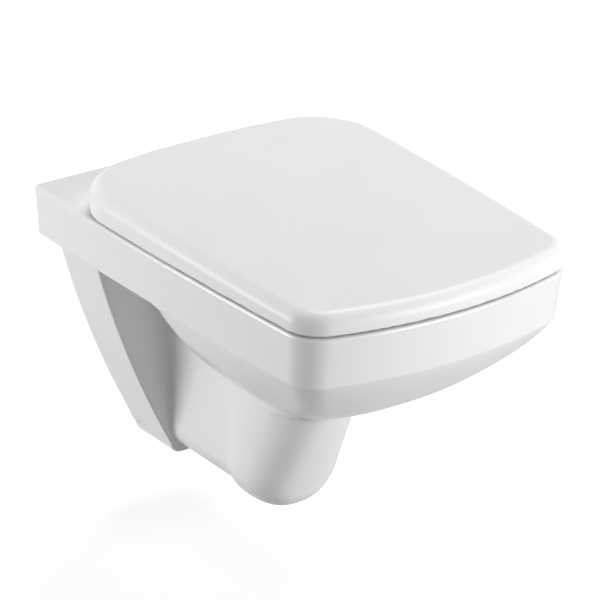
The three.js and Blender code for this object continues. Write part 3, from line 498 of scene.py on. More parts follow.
def hollows_field(p):
    """Everything that the casting leaves open at the back."""
    right = p.copy()
    right[:, 0] = np.abs(p[:, 0])
    x, y, z = right.T
    depth = rim - z
    spigot_gap = np.maximum(
        bore_field(p, 0, rim - outlet_depth, spigot_gap_radius, spigot_length),
        -bore_field(p, 0, rim - outlet_depth, spigot_radius, through))
    inlet = bore_field(p, 0, inlet_height, inlet_radius, inlet_length)
    edge = flange_edge(np.clip(depth, side_hollow_top - 4 * mm, side_hollow_foot + 3 * mm))
    beside = common(np.maximum(side_hollow_inner - x, x - edge + side_hollow_wall),
                    np.maximum(side_hollow_top - depth, depth - side_hollow_foot), side_hollow_round)
    beside = np.maximum(beside, -(y + side_hollow_reach))
    bolts = bore_field(right, bolt_side, 0, bolt_bore_radius, flange_depth + 3 * mm)
    seat_holes = np.hypot(x - seat_hole_side, y + seat_hole_reach) - seat_hole_radius
    seat_holes = np.maximum(seat_holes, rim - seat_hole_depth - z)
    return np.minimum.reduce([spigot_gap, inlet, box_field(p, *foot_hollow),
                              box_field(right, *deck_hollow), beside, bolts, seat_holes])


# %% [markdown]
# The whole pan is the band, the bowl, the neck with the sump and the flange, joined with fillets
# of their own size. Then the hollows are taken out, and the wall plane cuts off what lies behind.

# %% The whole pan
bowl_foot_round, bowl_overlap, neck_overlap = 3 * mm, 12 * mm, 5 * mm
bowl_fillet, belly_fillet, under_fillet, flange_fillet = 5 * mm, 8 * mm, 9 * mm, 5 * mm
back_edge_round, opening_overlap = 1.5 * mm, 4 * mm
lip_starts, lip_full, fillet_starts, fillet_full = -300 * mm, -250 * mm, -262 * mm, -235 * mm


def pan_field(p):
    """The distance from points to the glazed surface of the whole pan."""
    y, z = p[:, 1], p[:, 2]
    band = common(band_outside(p)[0], z - rim, rim_round)
    band = common(band, crease - z, lip_round * smooth_share(y, lip_starts, lip_full))
    bowl = common(bowl_outside(p)[0], rim - bowl_depth - z, bowl_foot_round)
    bowl = np.maximum(bowl, z - crease - bowl_overlap)
    neck = np.maximum(lower_field(p), z - crease - neck_overlap)
    flange = np.maximum(flange_field(p), z - crease - neck_overlap)
    body = joined(band, bowl, bowl_fillet * smooth_share(y, fillet_starts, fillet_full))
    body = joined(body, joined(neck, np.maximum(*belly(p)), belly_fillet), under_fillet)
    body = joined(body, flange, flange_fillet)
    open_side, _ = opening(p)
    opened = np.maximum(open_side, rim - curtain_depth - opening_overlap - z)
    under_rim = np.maximum(z - rim + rim_wall, rim - curtain_depth - z)
    channel = np.maximum(open_side - curtain_wall - channel_width, under_rim)
    inside = np.maximum(np.maximum(chamber(p)[0], z - rim + chamber_top), rim - well_depth - z)
    curtain = np.maximum(open_side - curtain_wall, rim - curtain_depth - z)
    inside = cut(joined(channel, inside, slit_round), curtain, curtain_round)
    for hollow, edge in ((inside, inner_round), (trap_field(p), inner_round),
                         (opened, opening_round), (hollows_field(p), back_edge_round)):
        body = cut(body, hollow, edge)
    return common(body, y, back_edge_round)


# %% [markdown]
# ## From the field to a mesh
#
# A grid of boxes is laid over the pan. Every box that the surface passes through gets one vertex,
# placed in the middle of the crossings on its edges, and boxes that share a crossed edge share a
# face. This is called surface nets, and gives even quads with no seams. The grid's planes lie
# closer together where an edge of the china needs to be crisp: at the rim, at the crease, at the
# wall and at the flange's face. Each vertex is then moved along the field's slope until it lies
# on the glaze, and the slope gives it its exact normal, so reflections run smoothly.

# %% Grid planes
def planes(stops, fine=()):
    """Grid planes from (start, step) pairs up to the last stop, with fine planes round some places."""
    found = []
    for (start, step), (stop, _) in zip(stops, stops[1:]):
        count = max(int(round((stop - start) / step)), 1)
        found.extend(np.linspace(start, stop, count, endpoint=False))
    found.append(stops[-1][0])
    found = np.array(found)
    for place, step, count in fine:
        near = place + step * (np.arange(2 * count) - count + 0.5)
        found = found[(found < near[0] - step / 2) | (found > near[-1] + step / 2)]
        found = np.concatenate([found, near])
    return np.sort(found)


coarse = 1.0
step = 4.6 * mm * coarse
grid_x = planes([(-182 * mm, step), (182 * mm, step)],
                [(side * 171 * mm, 1.8 * mm, 4) for side in side_signs]
                + [(side * bolt_side, 2.2 * mm, 5) for side in side_signs])
grid_y = planes([(-534 * mm, step), (8 * mm, step)],
                [(-flange_depth + 0.8 * mm, 1.1 * mm, 3), (-0.6 * mm, 0.9 * mm, 3)])
grid_z = planes([(-262 * mm, step), (88 * mm, step)],
                [(crease, 0.9 * mm, 4), (rim - 2 * mm, 1.1 * mm, 4), (0, 2.2 * mm, 5)])
print("grid", len(grid_x), len(grid_y), len(grid_z))


# %% [markdown]
# The net itself needs three steps: find where the grid's edges cross the surface, put one vertex
# in each box that such edges touch, and join the four boxes round each crossed edge.

# %% Surface nets
def slope_of(field, p, reach):
    """The field's slope at each point, from differences along the axes."""
    found = []
    for axis in np.eye(3) * reach:
        found.append((field(p + axis) - field(p - axis)) / (2 * reach))
    return np.stack(found, 1)


def surface_nets(field, xs, ys, zs):
    """Vertices and quads of the field's zero surface on a grid of planes."""
    size = (len(xs), len(ys), len(zs))
    values = np.empty(size, np.float32)
    for i, x in enumerate(xs):
        y, z = np.meshgrid(ys, zs, indexing="ij")
        p = np.stack([np.full(y.size, x), y.ravel(), z.ravel()], 1)
        values[i] = field(p).reshape(size[1:])
    inside = values < 0
    cells = (size[0] - 1, size[1] - 1, size[2] - 1)
    total, count = np.zeros((*cells, 3), np.float64), np.zeros(cells, np.int32)
    grid = [xs, ys, zs]
    crossings = []
    for axis in range(3):
        low = [slice(None)] * 3
        high = [slice(None)] * 3
        low[axis], high[axis] = slice(None, -1), slice(1, None)
        a, b = values[tuple(low)], values[tuple(high)]
        crossed = inside[tuple(low)] != inside[tuple(high)]
        where = np.argwhere(crossed)
        share = (a / np.where(a == b, 1, a - b))[crossed]
        place = np.stack([grid[k][where[:, k]] for k in range(3)], 1)
        place[:, axis] += share * (grid[axis][where[:, axis] + 1] - grid[axis][where[:, axis]])
        others = [k for k in range(3) if k != axis]
        for du in (0, 1):
            for dv in (0, 1):
                cell = where.copy()
                cell[:, others[0]] -= du
                cell[:, others[1]] -= dv
                ok = np.all((cell >= 0) & (cell < np.array(cells)), axis=1)
                index = tuple(cell[ok].T)
                for k in range(3):
                    np.add.at(total[..., k], index, place[ok, k])
                np.add.at(count, index, 1)
        crossings.append((axis, where, inside[tuple(low)][crossed]))
    used = count > 0
    number = np.full(cells, -1, np.int64)
    number[used] = np.arange(used.sum())
    vertices = total[used] / count[used][:, None]
    quads = []
    for axis, where, inward in crossings:
        u, v = [(1, 2), (2, 0), (0, 1)][axis]
        corners = []
        for du, dv in ((1, 1), (0, 1), (0, 0), (1, 0)):
            cell = where.copy()
            cell[:, u] -= du
            cell[:, v] -= dv
            corners.append(cell)
        ok = np.all([np.all((c >= 0) & (c < np.array(cells)), axis=1) for c in corners], axis=0)
        ids = np.stack([number[tuple(c[ok].T)] for c in corners], 1)
        ids[~inward[ok]] = ids[~inward[ok]][:, ::-1]
        quads.append(ids)
    return vertices, np.concatenate(quads)


settle_rounds, settle_limit, settle_reach, least_steep = 4, 1.5 * mm, 0.25 * mm, 0.05


def settle(field, vertices):
    """Moves vertices along the slope onto the surface, a little at a time."""
    p = vertices.copy()
    for _ in range(settle_rounds):
        slope = slope_of(field, p, settle_reach)
        steep = np.maximum((slope**2).sum(1), least_steep)
        move = -(field(p) / steep)[:, None] * slope
        length = np.linalg.norm(move, axis=1, keepdims=True)
        p += move * np.minimum(1, settle_limit / np.maximum(length, tiny))
    return p


# %% [markdown]
# A mesh from a field is smooth shaded, and each vertex gets the field's own slope as its normal.
# The pan, the lid and the seat are all made by the same function.

# %% An object from a field
def new_object(name, data):
    """A new object at the origin, in the scene."""
    made = bpy.data.objects.new(name, data)
    bpy.context.scene.collection.objects.link(made)
    return made


def shade_smooth(data):
    data.polygons.foreach_set("use_smooth", np.ones(len(data.polygons), bool))


def triangle_count(made):
    return sum(len(p.vertices) - 2 for p in made.data.polygons)


def field_object(name, field, planes_xyz, normal_reach):
    """A new object from a field: a net on the grid, settled on the surface, with exact normals."""
    vertices, quads = surface_nets(field, *planes_xyz)
    vertices = settle(field, vertices)
    normals = slope_of(field, vertices, normal_reach)
    normals /= np.maximum(np.linalg.norm(normals, axis=1, keepdims=True), tiny)
    data = bpy.data.meshes.new(name)
    data.from_pydata([tuple(v) for v in vertices], [], [tuple(f) for f in quads])
    data.update()
    shade_smooth(data)
    data.normals_split_custom_set_from_vertices([tuple(n) for n in normals])
    made = new_object(name, data)
    off = np.abs(field(vertices)).max() / mm
    print(name, triangle_count(made), "triangles, at most", round(float(off), 2), "mm off its field")
    return made


pan = field_object("pan", pan_field, (grid_x, grid_y, grid_z), 0.5 * mm)

# %% [markdown]
# ## The distance from an outline
#
# The lid and the seat are broad glossy shapes, and any kink in them would show in the light on
# their shoulders. So their fields don't read a table: each point finds the arc that is nearest to
# it, and the distance to an arc is exact.

# %% The distance from an outline
def quarter_distance(q, half_width, widest_at, bow, end, end_bow, corner):
    """The distance from the arcs of one quarter. The nearest arc is the one whose span is faced."""
    side_centre, end_centre, corner_centre, side_angle, end_angle = touching(
        half_width, widest_at, bow, end, end_bow, corner)
    away = q - corner_centre
    past_side = math.cos(side_angle) * away[:, 1] - math.sin(side_angle) * away[:, 0]
    past_end = math.cos(end_angle) * away[:, 1] - math.sin(end_angle) * away[:, 0]
    at_side = np.linalg.norm(q - side_centre, axis=1) - bow
    at_end = np.linalg.norm(q - end_centre, axis=1) - end_bow
    at_corner = np.linalg.norm(away, axis=1) - corner
    deep = np.where((past_side > 0) & (past_end < 0), np.maximum(at_side, at_end), at_end)
    straight = np.where((past_side > 0) & (past_end >= 0), at_side, deep)
    return np.where((past_side <= 0) & (past_end >= 0), at_corner, straight)


def outline_distance(p, spec):
    """How far points lie outside an outline, seen from above. Inside it is negative."""
    front, back = quarters(spec)
    in_front = p[:, 1] < -spec["widest"]
    found = np.empty(len(p))
    for here, sizes, turned in ((in_front, front, False), (~in_front, back, True)):
        y = p[here, 1]
        q = np.stack([np.abs(p[here, 0]), -2 * spec["widest"] - y if turned else y], 1)
        found[here] = quarter_distance(q, **sizes)
    return found


# %% [markdown]
# ## The lid
#
# The lid is one moulded shell of hard thermoset plastic, 4.5 mm thick, that wraps down over the
# seat. Its top slopes up a little towards the wall and is gently crowned, so water runs off. Two
# lugs inside the back edge hold the hinge pins. It is described as a field in the same way as the
# pan: an outer form, less an inner form, plus the lugs, with every edge rounded.

# %% Sizes of the hinges and the lid
hinge_reach, hinge_height, barrel_radius = 70 * mm, rim + 22 * mm, 8.5 * mm
pin_bore, damper_bore = 3.8 * mm, 6.5 * mm
lid_lug, seat_lug = (47.5 * mm, 67.5 * mm), (87.5 * mm, 107.5 * mm)
lid_overhang, lid_bottom, lid_wall, lid_shoulder = 1.5 * mm, rim + 4 * mm, 4.5 * mm, 15 * mm
lid_spec = dict(
    half_width=pan_half_width + lid_overhang, widest=widest, bow=side_bow + lid_overhang,
    front=pan_length + lid_overhang, front_bow=front_bow + lid_overhang,
    front_corner=front_corner + lid_overhang, back=53 * mm, back_bow=900 * mm, back_corner=84 * mm,
)
lid_middle = -(lid_spec["front"] + lid_spec["back"]) / 2
lid_slope, lid_crown = 0.0219, 1.2 * mm
moulded_round, lug_fillet, bore_round, lug_play = 0.8 * mm, 1.5 * mm, 0.3 * mm, 2 * mm
relief_reach, relief_height, web_length, web_depth = 66 * mm, 14 * mm, 34 * mm, 7 * mm
moulded_normal_reach = 0.3 * mm


def lid_plane(y):
    """The height of the lid's sloping top, before its crown."""
    return rim + 31.4 * mm + lid_slope * (y + 270 * mm)


def lid_top(p):
    """The height of the lid's top over a point, with the crown that dies away at the edges."""
    across = np.clip(1 - (p[:, 0] / (lid_spec["half_width"] - lid_shoulder)) ** 2, 0, 1)
    length = (lid_spec["front"] - lid_spec["back"]) / 2 - lid_shoulder
    along = np.clip(1 - ((p[:, 1] - lid_middle) / length) ** 2, 0, 1)
    return lid_plane(p[:, 1]) + lid_crown * across * along


def barrel_field(p, radius, inner, outer):
    """A round bar along the hinge axis, from an inner to an outer place on each side."""
    x = np.abs(p[:, 0])
    away = np.hypot(p[:, 1] + hinge_reach, p[:, 2] - hinge_height) - radius
    return common(away, np.maximum(inner - x, x - outer), moulded_round)


def lug_bores(p, inner, outer, damper_side):
    """The bores for the pins, and the wider chamber for the damper on one side."""
    pin = np.hypot(p[:, 1] + hinge_reach, p[:, 2] - hinge_height)
    near = (np.abs(p[:, 0]) > inner - lug_play) & (np.abs(p[:, 0]) < outer + lug_play)
    radius = np.where(p[:, 0] * damper_side > 0, damper_bore, pin_bore)
    return np.where(near, pin - radius, 5 * mm)


# %% [markdown]
# The lid's field takes an inner form from an outer one, clears a way for the pan's deck and the
# hinges, and adds a barrel with a web on each side.

# %% The lid as a field
def lid_field(p):
    x, y, z = np.abs(p[:, 0]), p[:, 1], p[:, 2]
    side, top = outline_distance(p, lid_spec), z - lid_top(p)
    outer = common(common(side, top, lid_shoulder), lid_bottom - z, moulded_round)
    inner = common(side + lid_wall, top + lid_wall, lid_shoulder - lid_wall)
    shell = cut(outer, inner, moulded_round)
    relief = np.maximum(-relief_reach - y, z - rim - relief_height)
    shell = cut(shell, relief, moulded_round)
    ceiling = lid_plane(-hinge_reach) - lid_wall
    beside_lugs = np.maximum(lid_lug[0] - lug_play - x, x - seat_lug[1] - lug_play)
    notch = np.maximum(np.maximum(beside_lugs, z - ceiling), -hinge_reach - lug_play - y)
    shell = cut(shell, notch, moulded_round)
    barrel = barrel_field(p, barrel_radius, *lid_lug)
    web = np.maximum(np.maximum(lid_lug[0] - x, x - lid_lug[1]),
                     np.maximum(y + hinge_reach - barrel_radius, -hinge_reach - web_length - y))
    web = np.maximum(web, np.maximum(ceiling - web_depth - z, top + lid_wall / 2))
    shell = joined(shell, joined(barrel, web, lug_fillet), lug_fillet)
    return cut(shell, lug_bores(p, *lid_lug, damper_side=1), bore_round)


# %% [markdown]
# A net can only hold a wall that is thicker than its cells are long, measured across the wall. So
# the planes lie close where the shell bends round its corners, and closest round the hinge, where
# the wall beside a damper is only 2 mm. The flat middle of the lid needs far fewer.

# %% The lid's mesh
fine, finest, level, wide = [size * mm * coarse for size in (2.3, 1.1, 1.5, 5.5)]
round_hinge = 10 * mm
hinge_front, hinge_back = -hinge_reach - round_hinge, -hinge_reach + round_hinge
hinge_low, hinge_high = hinge_height - round_hinge, hinge_height + round_hinge
lid_x = planes([(-180 * mm, fine), (-43 * mm, wide), (43 * mm, fine), (180 * mm, fine)])
lid_y = planes([(-532 * mm, fine), (-465 * mm, wide), (-150 * mm, fine), (hinge_front, finest),
                (hinge_back, fine), (-49 * mm, fine)])
lid_z = planes([(81 * mm, level), (hinge_low, finest), (hinge_high, level), (119 * mm, level)])
lid = field_object("lid_shell", lid_field, (lid_x, lid_y, lid_z), moulded_normal_reach)

# %% [markdown]
# ## The seat
#
# The seat ring is moulded in the same plastic. Its outer edge follows the lid's inside at an even
# gap, its opening follows the bowl's, and the edge that is sat on is rounder than the others. Two
# arms run back from it to the hinges, outside the lid's lugs.

# %% The seat ring as a field
seat_inset = lid_wall + 3.5 * mm
seat_spec = dict(
    half_width=lid_spec["half_width"] - seat_inset, widest=widest, bow=lid_spec["bow"] - seat_inset,
    front=lid_spec["front"] - seat_inset, front_bow=lid_spec["front_bow"] - seat_inset,
    front_corner=lid_spec["front_corner"] - seat_inset, back=133 * mm, back_bow=2500 * mm,
    back_corner=26 * mm,
)
seat_opening = dict(opening_spec, half_width=110 * mm, front=464 * mm, front_corner=72 * mm,
                    back=182 * mm, back_corner=72 * mm)
seat_bottom, seat_under_round = rim + 4.5 * mm, 1.5 * mm
seat_outer_round, seat_inner_round, seat_lid_gap = 7 * mm, 10 * mm, 2.6 * mm
arm_end, arm_below, arm_above, arm_fillet = 149 * mm, 12 * mm, 4 * mm, 3 * mm


def seat_top(y):
    return lid_plane(y) - lid_wall - seat_lid_gap


def seat_field(p):
    x, y, z = np.abs(p[:, 0]), p[:, 1], p[:, 2]
    top = z - seat_top(y)
    outer = common(outline_distance(p, seat_spec), top, seat_outer_round)
    inner = common(-outline_distance(p, seat_opening), top, seat_inner_round)
    ring = common(np.maximum(outer, inner), seat_bottom - z, seat_under_round)
    beside = np.maximum(seat_lug[0] - x, x - seat_lug[1])
    length = np.maximum(y + hinge_reach, -arm_end - y)
    height = np.maximum(hinge_height - arm_below - z, z - hinge_height - arm_above)
    arm = common(common(beside, length, moulded_round), height, moulded_round)
    arm = joined(arm, barrel_field(p, barrel_radius, *seat_lug), lug_fillet)
    whole = joined(ring, arm, arm_fillet)
    return cut(whole, lug_bores(p, *seat_lug, damper_side=-1), bore_round)


even = 3.1 * mm * coarse
seat_x = planes([(-172 * mm, even), (-110 * mm, fine), (-85 * mm, even), (85 * mm, fine),
                 (110 * mm, even), (172 * mm, even)])
seat_y = planes([(-524 * mm, even), (hinge_front, finest), (-58 * mm, finest)])
seat_z = planes([(83 * mm, level), (hinge_low, finest), (113 * mm, finest)])
seat = field_object("seat_ring_moulding", seat_field, (seat_x, seat_y, seat_z), moulded_normal_reach)

# %% [markdown]
# ## Riding on the frame
#
# Each new shape takes the place of its CAD node and rides on the same body, so it turns about the
# same hinges. The CAD node stays hidden, for collisions.

# %% Riding on the frame
for made, node, body, finish in (
    (pan, "pan_body", "pan", "ceramic"),
    (lid, "lid", "cover", "duroplast"),
    (seat, "seat_ring", "seat", "duroplast"),
):
    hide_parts(node)
    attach(made, body)
    print(made.name, "rides on", body)

# %% [markdown]
# ## Glaze, plastic and metal
#
# A finish is a small tree of shader nodes. All of them read the object's own coordinates, so the
# pattern stays with the piece when it moves, and it needs no image. Each gives three things: a
# colour that varies a little, a roughness that varies a little, and a bump for the unevenness that
# the hand would feel. The sizes of those patterns are real sizes.

# %% Helpers for node trees
def blank_tree(owner):
    """The empty node tree of a material or a world."""
    owner.use_nodes = True
    owner.node_tree.nodes.clear()
    return owner.node_tree


def nodes_of(tree, family, *kinds):
    """New nodes of these kinds, in the same order."""
    return [tree.nodes.new(family + kind) for kind in kinds]


def preset(node, values):
    """Sets constants on a node's inputs."""
    for key, value in values.items():
        node.inputs[key].default_value = value


def wired(tree, *wires):
    """Links nodes: each wire is a node, its output, the next node and its input."""
    for source, output, target, given in wires:
        tree.links.new(source.outputs[output], target.inputs[given])


# %% [markdown]
# One noise drives all three: its middle range is stretched to the colour's and roughness's limits,
# and the same noise is the height of the bump.

# %% A helper for finishes
noise_range = (0.3, 0.7)


def finish_material(name, colour, spread, roughness, rough_spread, size, bump, metallic=0.0,
                    detail=2.0, stretch=(1, 1, 1), shine=0.5):
    """A procedural finish: colour, roughness and bump that vary in patches of a real size."""
    made = bpy.data.materials.new(name)
    tree = blank_tree(made)
    place, turn, patches, tint, gloss, relief, shader, end = nodes_of(
        tree, "ShaderNode", "TexCoord", "Mapping", "TexNoise", "ValToRGB", "MapRange", "Bump",
        "BsdfPrincipled", "OutputMaterial")
    dark = [c * (1 - spread) for c in colour]
    for stop, position, shade in zip(tint.color_ramp.elements, noise_range, (dark, colour)):
        stop.position, stop.color = position, (*shade, 1)
    preset(turn, {"Scale": stretch})
    preset(patches, {"Scale": 1 / size, "Detail": detail})
    preset(gloss, {"From Min": noise_range[0], "From Max": noise_range[1],
                   "To Min": roughness - rough_spread, "To Max": roughness + rough_spread})
    preset(relief, {"Distance": bump, "Strength": 1.0})
    preset(shader, {"Metallic": metallic, "Specular IOR Level": shine})
    wired(tree, (place, "Object", turn, "Vector"), (turn, "Vector", patches, "Vector"),
          (patches, "Fac", tint, "Fac"), (patches, "Fac", gloss, "Value"),
          (patches, "Fac", relief, "Height"), (relief, "Normal", shader, "Normal"),
          (tint, "Color", shader, "Base Color"), (gloss, "Result", shader, "Roughness"),
          (shader, "BSDF", end, "Surface"))
    return made


# %% [markdown]
# Sanitary glaze is a thick layer of glass over white china. It is very smooth, but it has run a
# little in the kiln, which shows as a slow wave in reflections, some 45 mm from crest to crest and
# a few hundredths of a millimetre high. The thermoset of the seat and lid is duller: its mould
# leaves a softer shine, and it lacks the glaze's slight warmth.

# %% The finishes
finishes = {
    "ceramic": finish_material(
        "sanitary_glaze", (0.87, 0.87, 0.868), 0.012, 0.17, 0.012, 45 * mm, 0.05 * mm),
    "duroplast": finish_material(
        "seat_thermoset", (0.865, 0.865, 0.865), 0.008, 0.36, 0.02, 70 * mm, 0.1 * mm,
        detail=0.0, shine=0.3),
    "rubber": finish_material(
        "buffer_rubber", (0.62, 0.62, 0.61), 0.08, 0.6, 0.08, 2 * mm, 0.05 * mm),
    "steel": finish_material(
        "zinc_plated_steel", (0.58, 0.59, 0.61), 0.12, 0.34, 0.08, 1.5 * mm, 0.02 * mm,
        metallic=1.0, detail=4),
    "chrome": finish_material(
        "polished_chrome", (0.78, 0.79, 0.81), 0.03, 0.09, 0.03, 6 * mm, 0.01 * mm, metallic=1.0),
    "brass": finish_material(
        "turned_brass", (0.66, 0.47, 0.2), 0.15, 0.3, 0.07, 0.8 * mm, 0.02 * mm,
        metallic=1.0, detail=4, stretch=(1, 1, 9)),
    "plastic": finish_material(
        "moulded_white_plastic", (0.82, 0.82, 0.815), 0.03, 0.4, 0.06, 0.9 * mm, 0.02 * mm),
    "grey_plastic": finish_material(
        "moulded_grey_plastic", (0.27, 0.28, 0.29), 0.1, 0.45, 0.08, 0.7 * mm, 0.03 * mm),
}
print("finishes", sorted(finishes))

# %% [markdown]
# Every CAD node that stays in view takes the finish of its slot. The record says which slot each
# node has.

# %% Finishes on the frame's own pieces
slot_of = {part["node"]: part["material_slot"] for part in frame["record"]["subparts"]}
for name, node in frame["nodes"].items():
    for place in node.material_slots:
        place.material = finishes[slot_of[name]]
for made, slot in ((pan, "ceramic"), (lid, "duroplast"), (seat, "duroplast")):
    made.data.materials.append(finishes[slot])
print("finished", len(slot_of), "CAD nodes and 3 new pieces")

# %% [markdown]
# ## Buffers and caps in rows
#
# The small round pieces come in rows: four buffers under the seat, four under the lid, and a cap
# on each side. One tree of Geometry Nodes makes any such row. It puts the piece's own
# mesh at the points of a grid, made real and given its finish at the end. The piece itself is
# turned on a lathe: a line of radii and heights, spun round its axis.

# %% A turned piece
def turned(name, profile, axis="Z", steps=48):
    """A closed mesh spun from (radius, height) pairs round an axis, first and last on the axis."""
    angles = np.linspace(0, 2 * math.pi, steps, endpoint=False)
    vertices, faces = [], []
    for radius, height in profile[1:-1]:
        vertices += [(radius * math.cos(a), radius * math.sin(a), height) for a in angles]
    around = [(k, (k + 1) % steps) for k in range(steps)]
    last_row = (len(profile) - 3) * steps
    for row in range(0, last_row, steps):
        faces += [(row + k, row + n, row + steps + n, row + steps + k) for k, n in around]
    low, high = len(vertices), len(vertices) + 1
    vertices += [(0, 0, profile[0][1]), (0, 0, profile[-1][1])]
    for k, n in around:
        faces += [(low, n, k), (high, last_row + k, last_row + n)]
    if axis == "-Y":
        vertices = [(x, -z, y) for x, y, z in vertices]
    data = bpy.data.meshes.new(name)
    data.from_pydata(vertices, [], faces)
    shade_smooth(data)
    data.update()
    return data


def rounded(radius, low, high, bend, steps=4, foot_bend=0.0):
    """The profile of a disc or button with a round upper edge and, if asked, a round lower one."""
    turn = np.linspace(0, math.pi / 2, steps + 1)
    profile = [(0, low), (radius - foot_bend - 0.3 * mm, low)]
    if foot_bend:
        profile += [(radius - foot_bend + foot_bend * math.sin(a),
                     low + foot_bend - foot_bend * math.cos(a)) for a in turn]
    else:
        profile += [(radius, low)]
    profile += [(radius, high - bend)] if bend < high - low - foot_bend else []
    profile += [(radius - bend + bend * math.cos(a), high - bend + bend * math.sin(a)) for a in turn[1:]]
    return profile + [(max(radius - bend - 0.4 * mm, radius / 3), high), (0, high)]


# %% [markdown]
# In the tree, a line of points gives the columns and another the rows. The rows are put on the
# columns and made real, and then the piece is put on every point of that grid.

# %% A row of pieces as Geometry Nodes
def row_tree():
    """A tree that repeats its input mesh over columns and rows and gives it a material."""
    tree = bpy.data.node_groups.new("Pieces in a row", "GeometryNodeTree")
    for name, kind in (("Geometry", "Geometry"), ("Columns", "Int"), ("Rows", "Int"),
                       ("Start", "Vector"), ("Column step", "Vector"), ("Row step", "Vector"),
                       ("Material", "Material")):
        tree.interface.new_socket(name, in_out="INPUT", socket_type="NodeSocket" + kind)
    tree.interface.new_socket("Geometry", in_out="OUTPUT", socket_type="NodeSocketGeometry")
    given, result = nodes_of(tree, "NodeGroup", "Input", "Output")
    columns, rows, at_columns, at_rows, real_rows, real, painted = nodes_of(
        tree, "GeometryNode", "MeshLine", "MeshLine", "InstanceOnPoints", "InstanceOnPoints",
        "RealizeInstances", "RealizeInstances", "SetMaterial")
    wired(tree, (given, "Columns", columns, "Count"), (given, "Start", columns, "Start Location"),
          (given, "Column step", columns, "Offset"), (given, "Rows", rows, "Count"),
          (given, "Row step", rows, "Offset"), (columns, "Mesh", at_columns, "Points"),
          (rows, "Mesh", at_columns, "Instance"),
          (at_columns, "Instances", real_rows, "Geometry"),
          (real_rows, "Geometry", at_rows, "Points"), (given, "Geometry", at_rows, "Instance"),
          (at_rows, "Instances", real, "Geometry"), (real, "Geometry", painted, "Geometry"),
          (given, "Material", painted, "Material"), (painted, "Geometry", result, "Geometry"))
    return tree


row_of_pieces = row_tree()


def plain_mesh(source):
    """What an object's modifiers make of it, as a mesh of its own."""
    bpy.context.view_layer.update()
    seen = source.evaluated_get(bpy.context.evaluated_depsgraph_get())
    return bpy.data.meshes.new_from_object(seen)


def in_rows(name, item, body, slot, nodes, **given):
    """A row of one item as a plain mesh, which replaces CAD nodes and rides on their body."""
    source = new_object(name + "_row", item)
    modifier = source.modifiers.new("Row", "NODES")
    modifier.node_group = row_of_pieces
    sockets = row_of_pieces.interface.items_tree
    keys = {socket.name: socket.identifier for socket in sockets if socket.in_out == "INPUT"}
    for key, value in dict(given, Material=finishes[slot]).items():
        modifier[keys[key.replace("_", " ")]] = value
    data = plain_mesh(source)
    data.name = name
    source.modifiers.clear()
    bpy.data.objects.remove(source)
    made = new_object(name, data)
    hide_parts(*nodes)
    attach(made, body)
    print(name, triangle_count(made), "triangles for", len(nodes), "pieces")


# %% [markdown]
# The buffers under the seat are low rubber buttons. They carry the weight of whoever sits down and
# keep the hard plastic off the glaze. The lid has smaller ones that lie on the seat, and because
# the lid slopes, they are cut on the same slope. The caps on the sides hide the wall fixings.

# %% Buffers and caps
def sloped(data, slope):
    """The same mesh, sheared so that its height follows a slope along Y."""
    for corner in data.vertices:
        corner.co.z += slope * corner.co.y
    return data


corners = [f"{place}_{side}" for place in ("front", "rear") for side in ("left", "right")]
seat_button = turned("seat_button", rounded(9 * mm, 0, 3.9 * mm, 0.8 * mm, foot_bend=1.2 * mm))
in_rows("seat_buffer_buttons", seat_button, "seat", "rubber",
        ["seat_buffer_" + place for place in corners],
        Columns=2, Rows=2, Start=(-144.5 * mm, -420 * mm, 80.3 * mm),
        Column_step=(289 * mm, 0, 0), Row_step=(0, 205 * mm, 0))

lid_button = turned("lid_button", rounded(7 * mm, 0, 2 * mm, 0.5 * mm, foot_bend=0.7 * mm))
in_rows("lid_buffer_buttons", sloped(lid_button, lid_slope), "cover", "rubber",
        ["lid_buffer_" + place for place in corners],
        Columns=2, Rows=2, Start=(-137.5 * mm, -440.03 * mm, 100.875 * mm),
        Column_step=(275 * mm, 0, 0), Row_step=(0, 190 * mm, 190 * mm * lid_slope))

cap_inside = [(0, 96.7 * mm), (14.4 * mm, 96.7 * mm), (15.2 * mm, 95.9 * mm), (15.2 * mm, 74.3 * mm)]
cap_outside = rounded(17 * mm, 74.3 * mm, 98.5 * mm, 5 * mm, steps=8)[2:]
in_rows("wall_fixing_caps", turned("fixing_cap", cap_inside + cap_outside, axis="-Y"), "pan", "plastic",
        ["wall_cap_left", "wall_cap_right"],
        Columns=2, Rows=1, Start=(-bolt_side, 0, 0),
        Column_step=(2 * bolt_side, 0, 0), Row_step=(0, 0, 0))

# %% [markdown]
# ## Hinges and fixings
#
# Stamped and cast metal has no knife edges. Each hinge and fixing keeps its CAD shape, but a copy
# of it is merged, its sharp edges are bevelled by a few tenths of a millimetre and its round faces
# are shaded smooth, so that they catch a thin line of light as real ones do.

# %% Hinges and fixings
weld_reach, flat_angle = 0.01 * mm, math.radians(2)
bevel_angle, sharp_angle = math.radians(40), math.radians(35)


def softened(node, body, width):
    """A merged copy of a CAD node with bevelled edges, which replaces the node."""
    data = frame["nodes"][node].data.copy()
    shape = bmesh.new()
    shape.from_mesh(data)
    bmesh.ops.remove_doubles(shape, verts=shape.verts, dist=weld_reach)
    bmesh.ops.dissolve_limit(shape, angle_limit=flat_angle, verts=shape.verts, edges=shape.edges)
    shape.to_mesh(data)
    shape.free()
    made = new_object(node + "_softened", data)
    bevel = made.modifiers.new("Edges", "BEVEL")
    bevel.width, bevel.segments, bevel.limit_method = width, 2, "ANGLE"
    bevel.angle_limit, bevel.use_clamp_overlap = bevel_angle, True
    finished = plain_mesh(made)
    made.modifiers.clear()
    made.data = finished
    shade_smooth(finished)
    finished.set_sharp_from_angle(angle=sharp_angle)
    finished.materials.clear()
    finished.materials.append(finishes[slot_of[node]])
    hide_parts(node)
    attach(made, body)
    return made


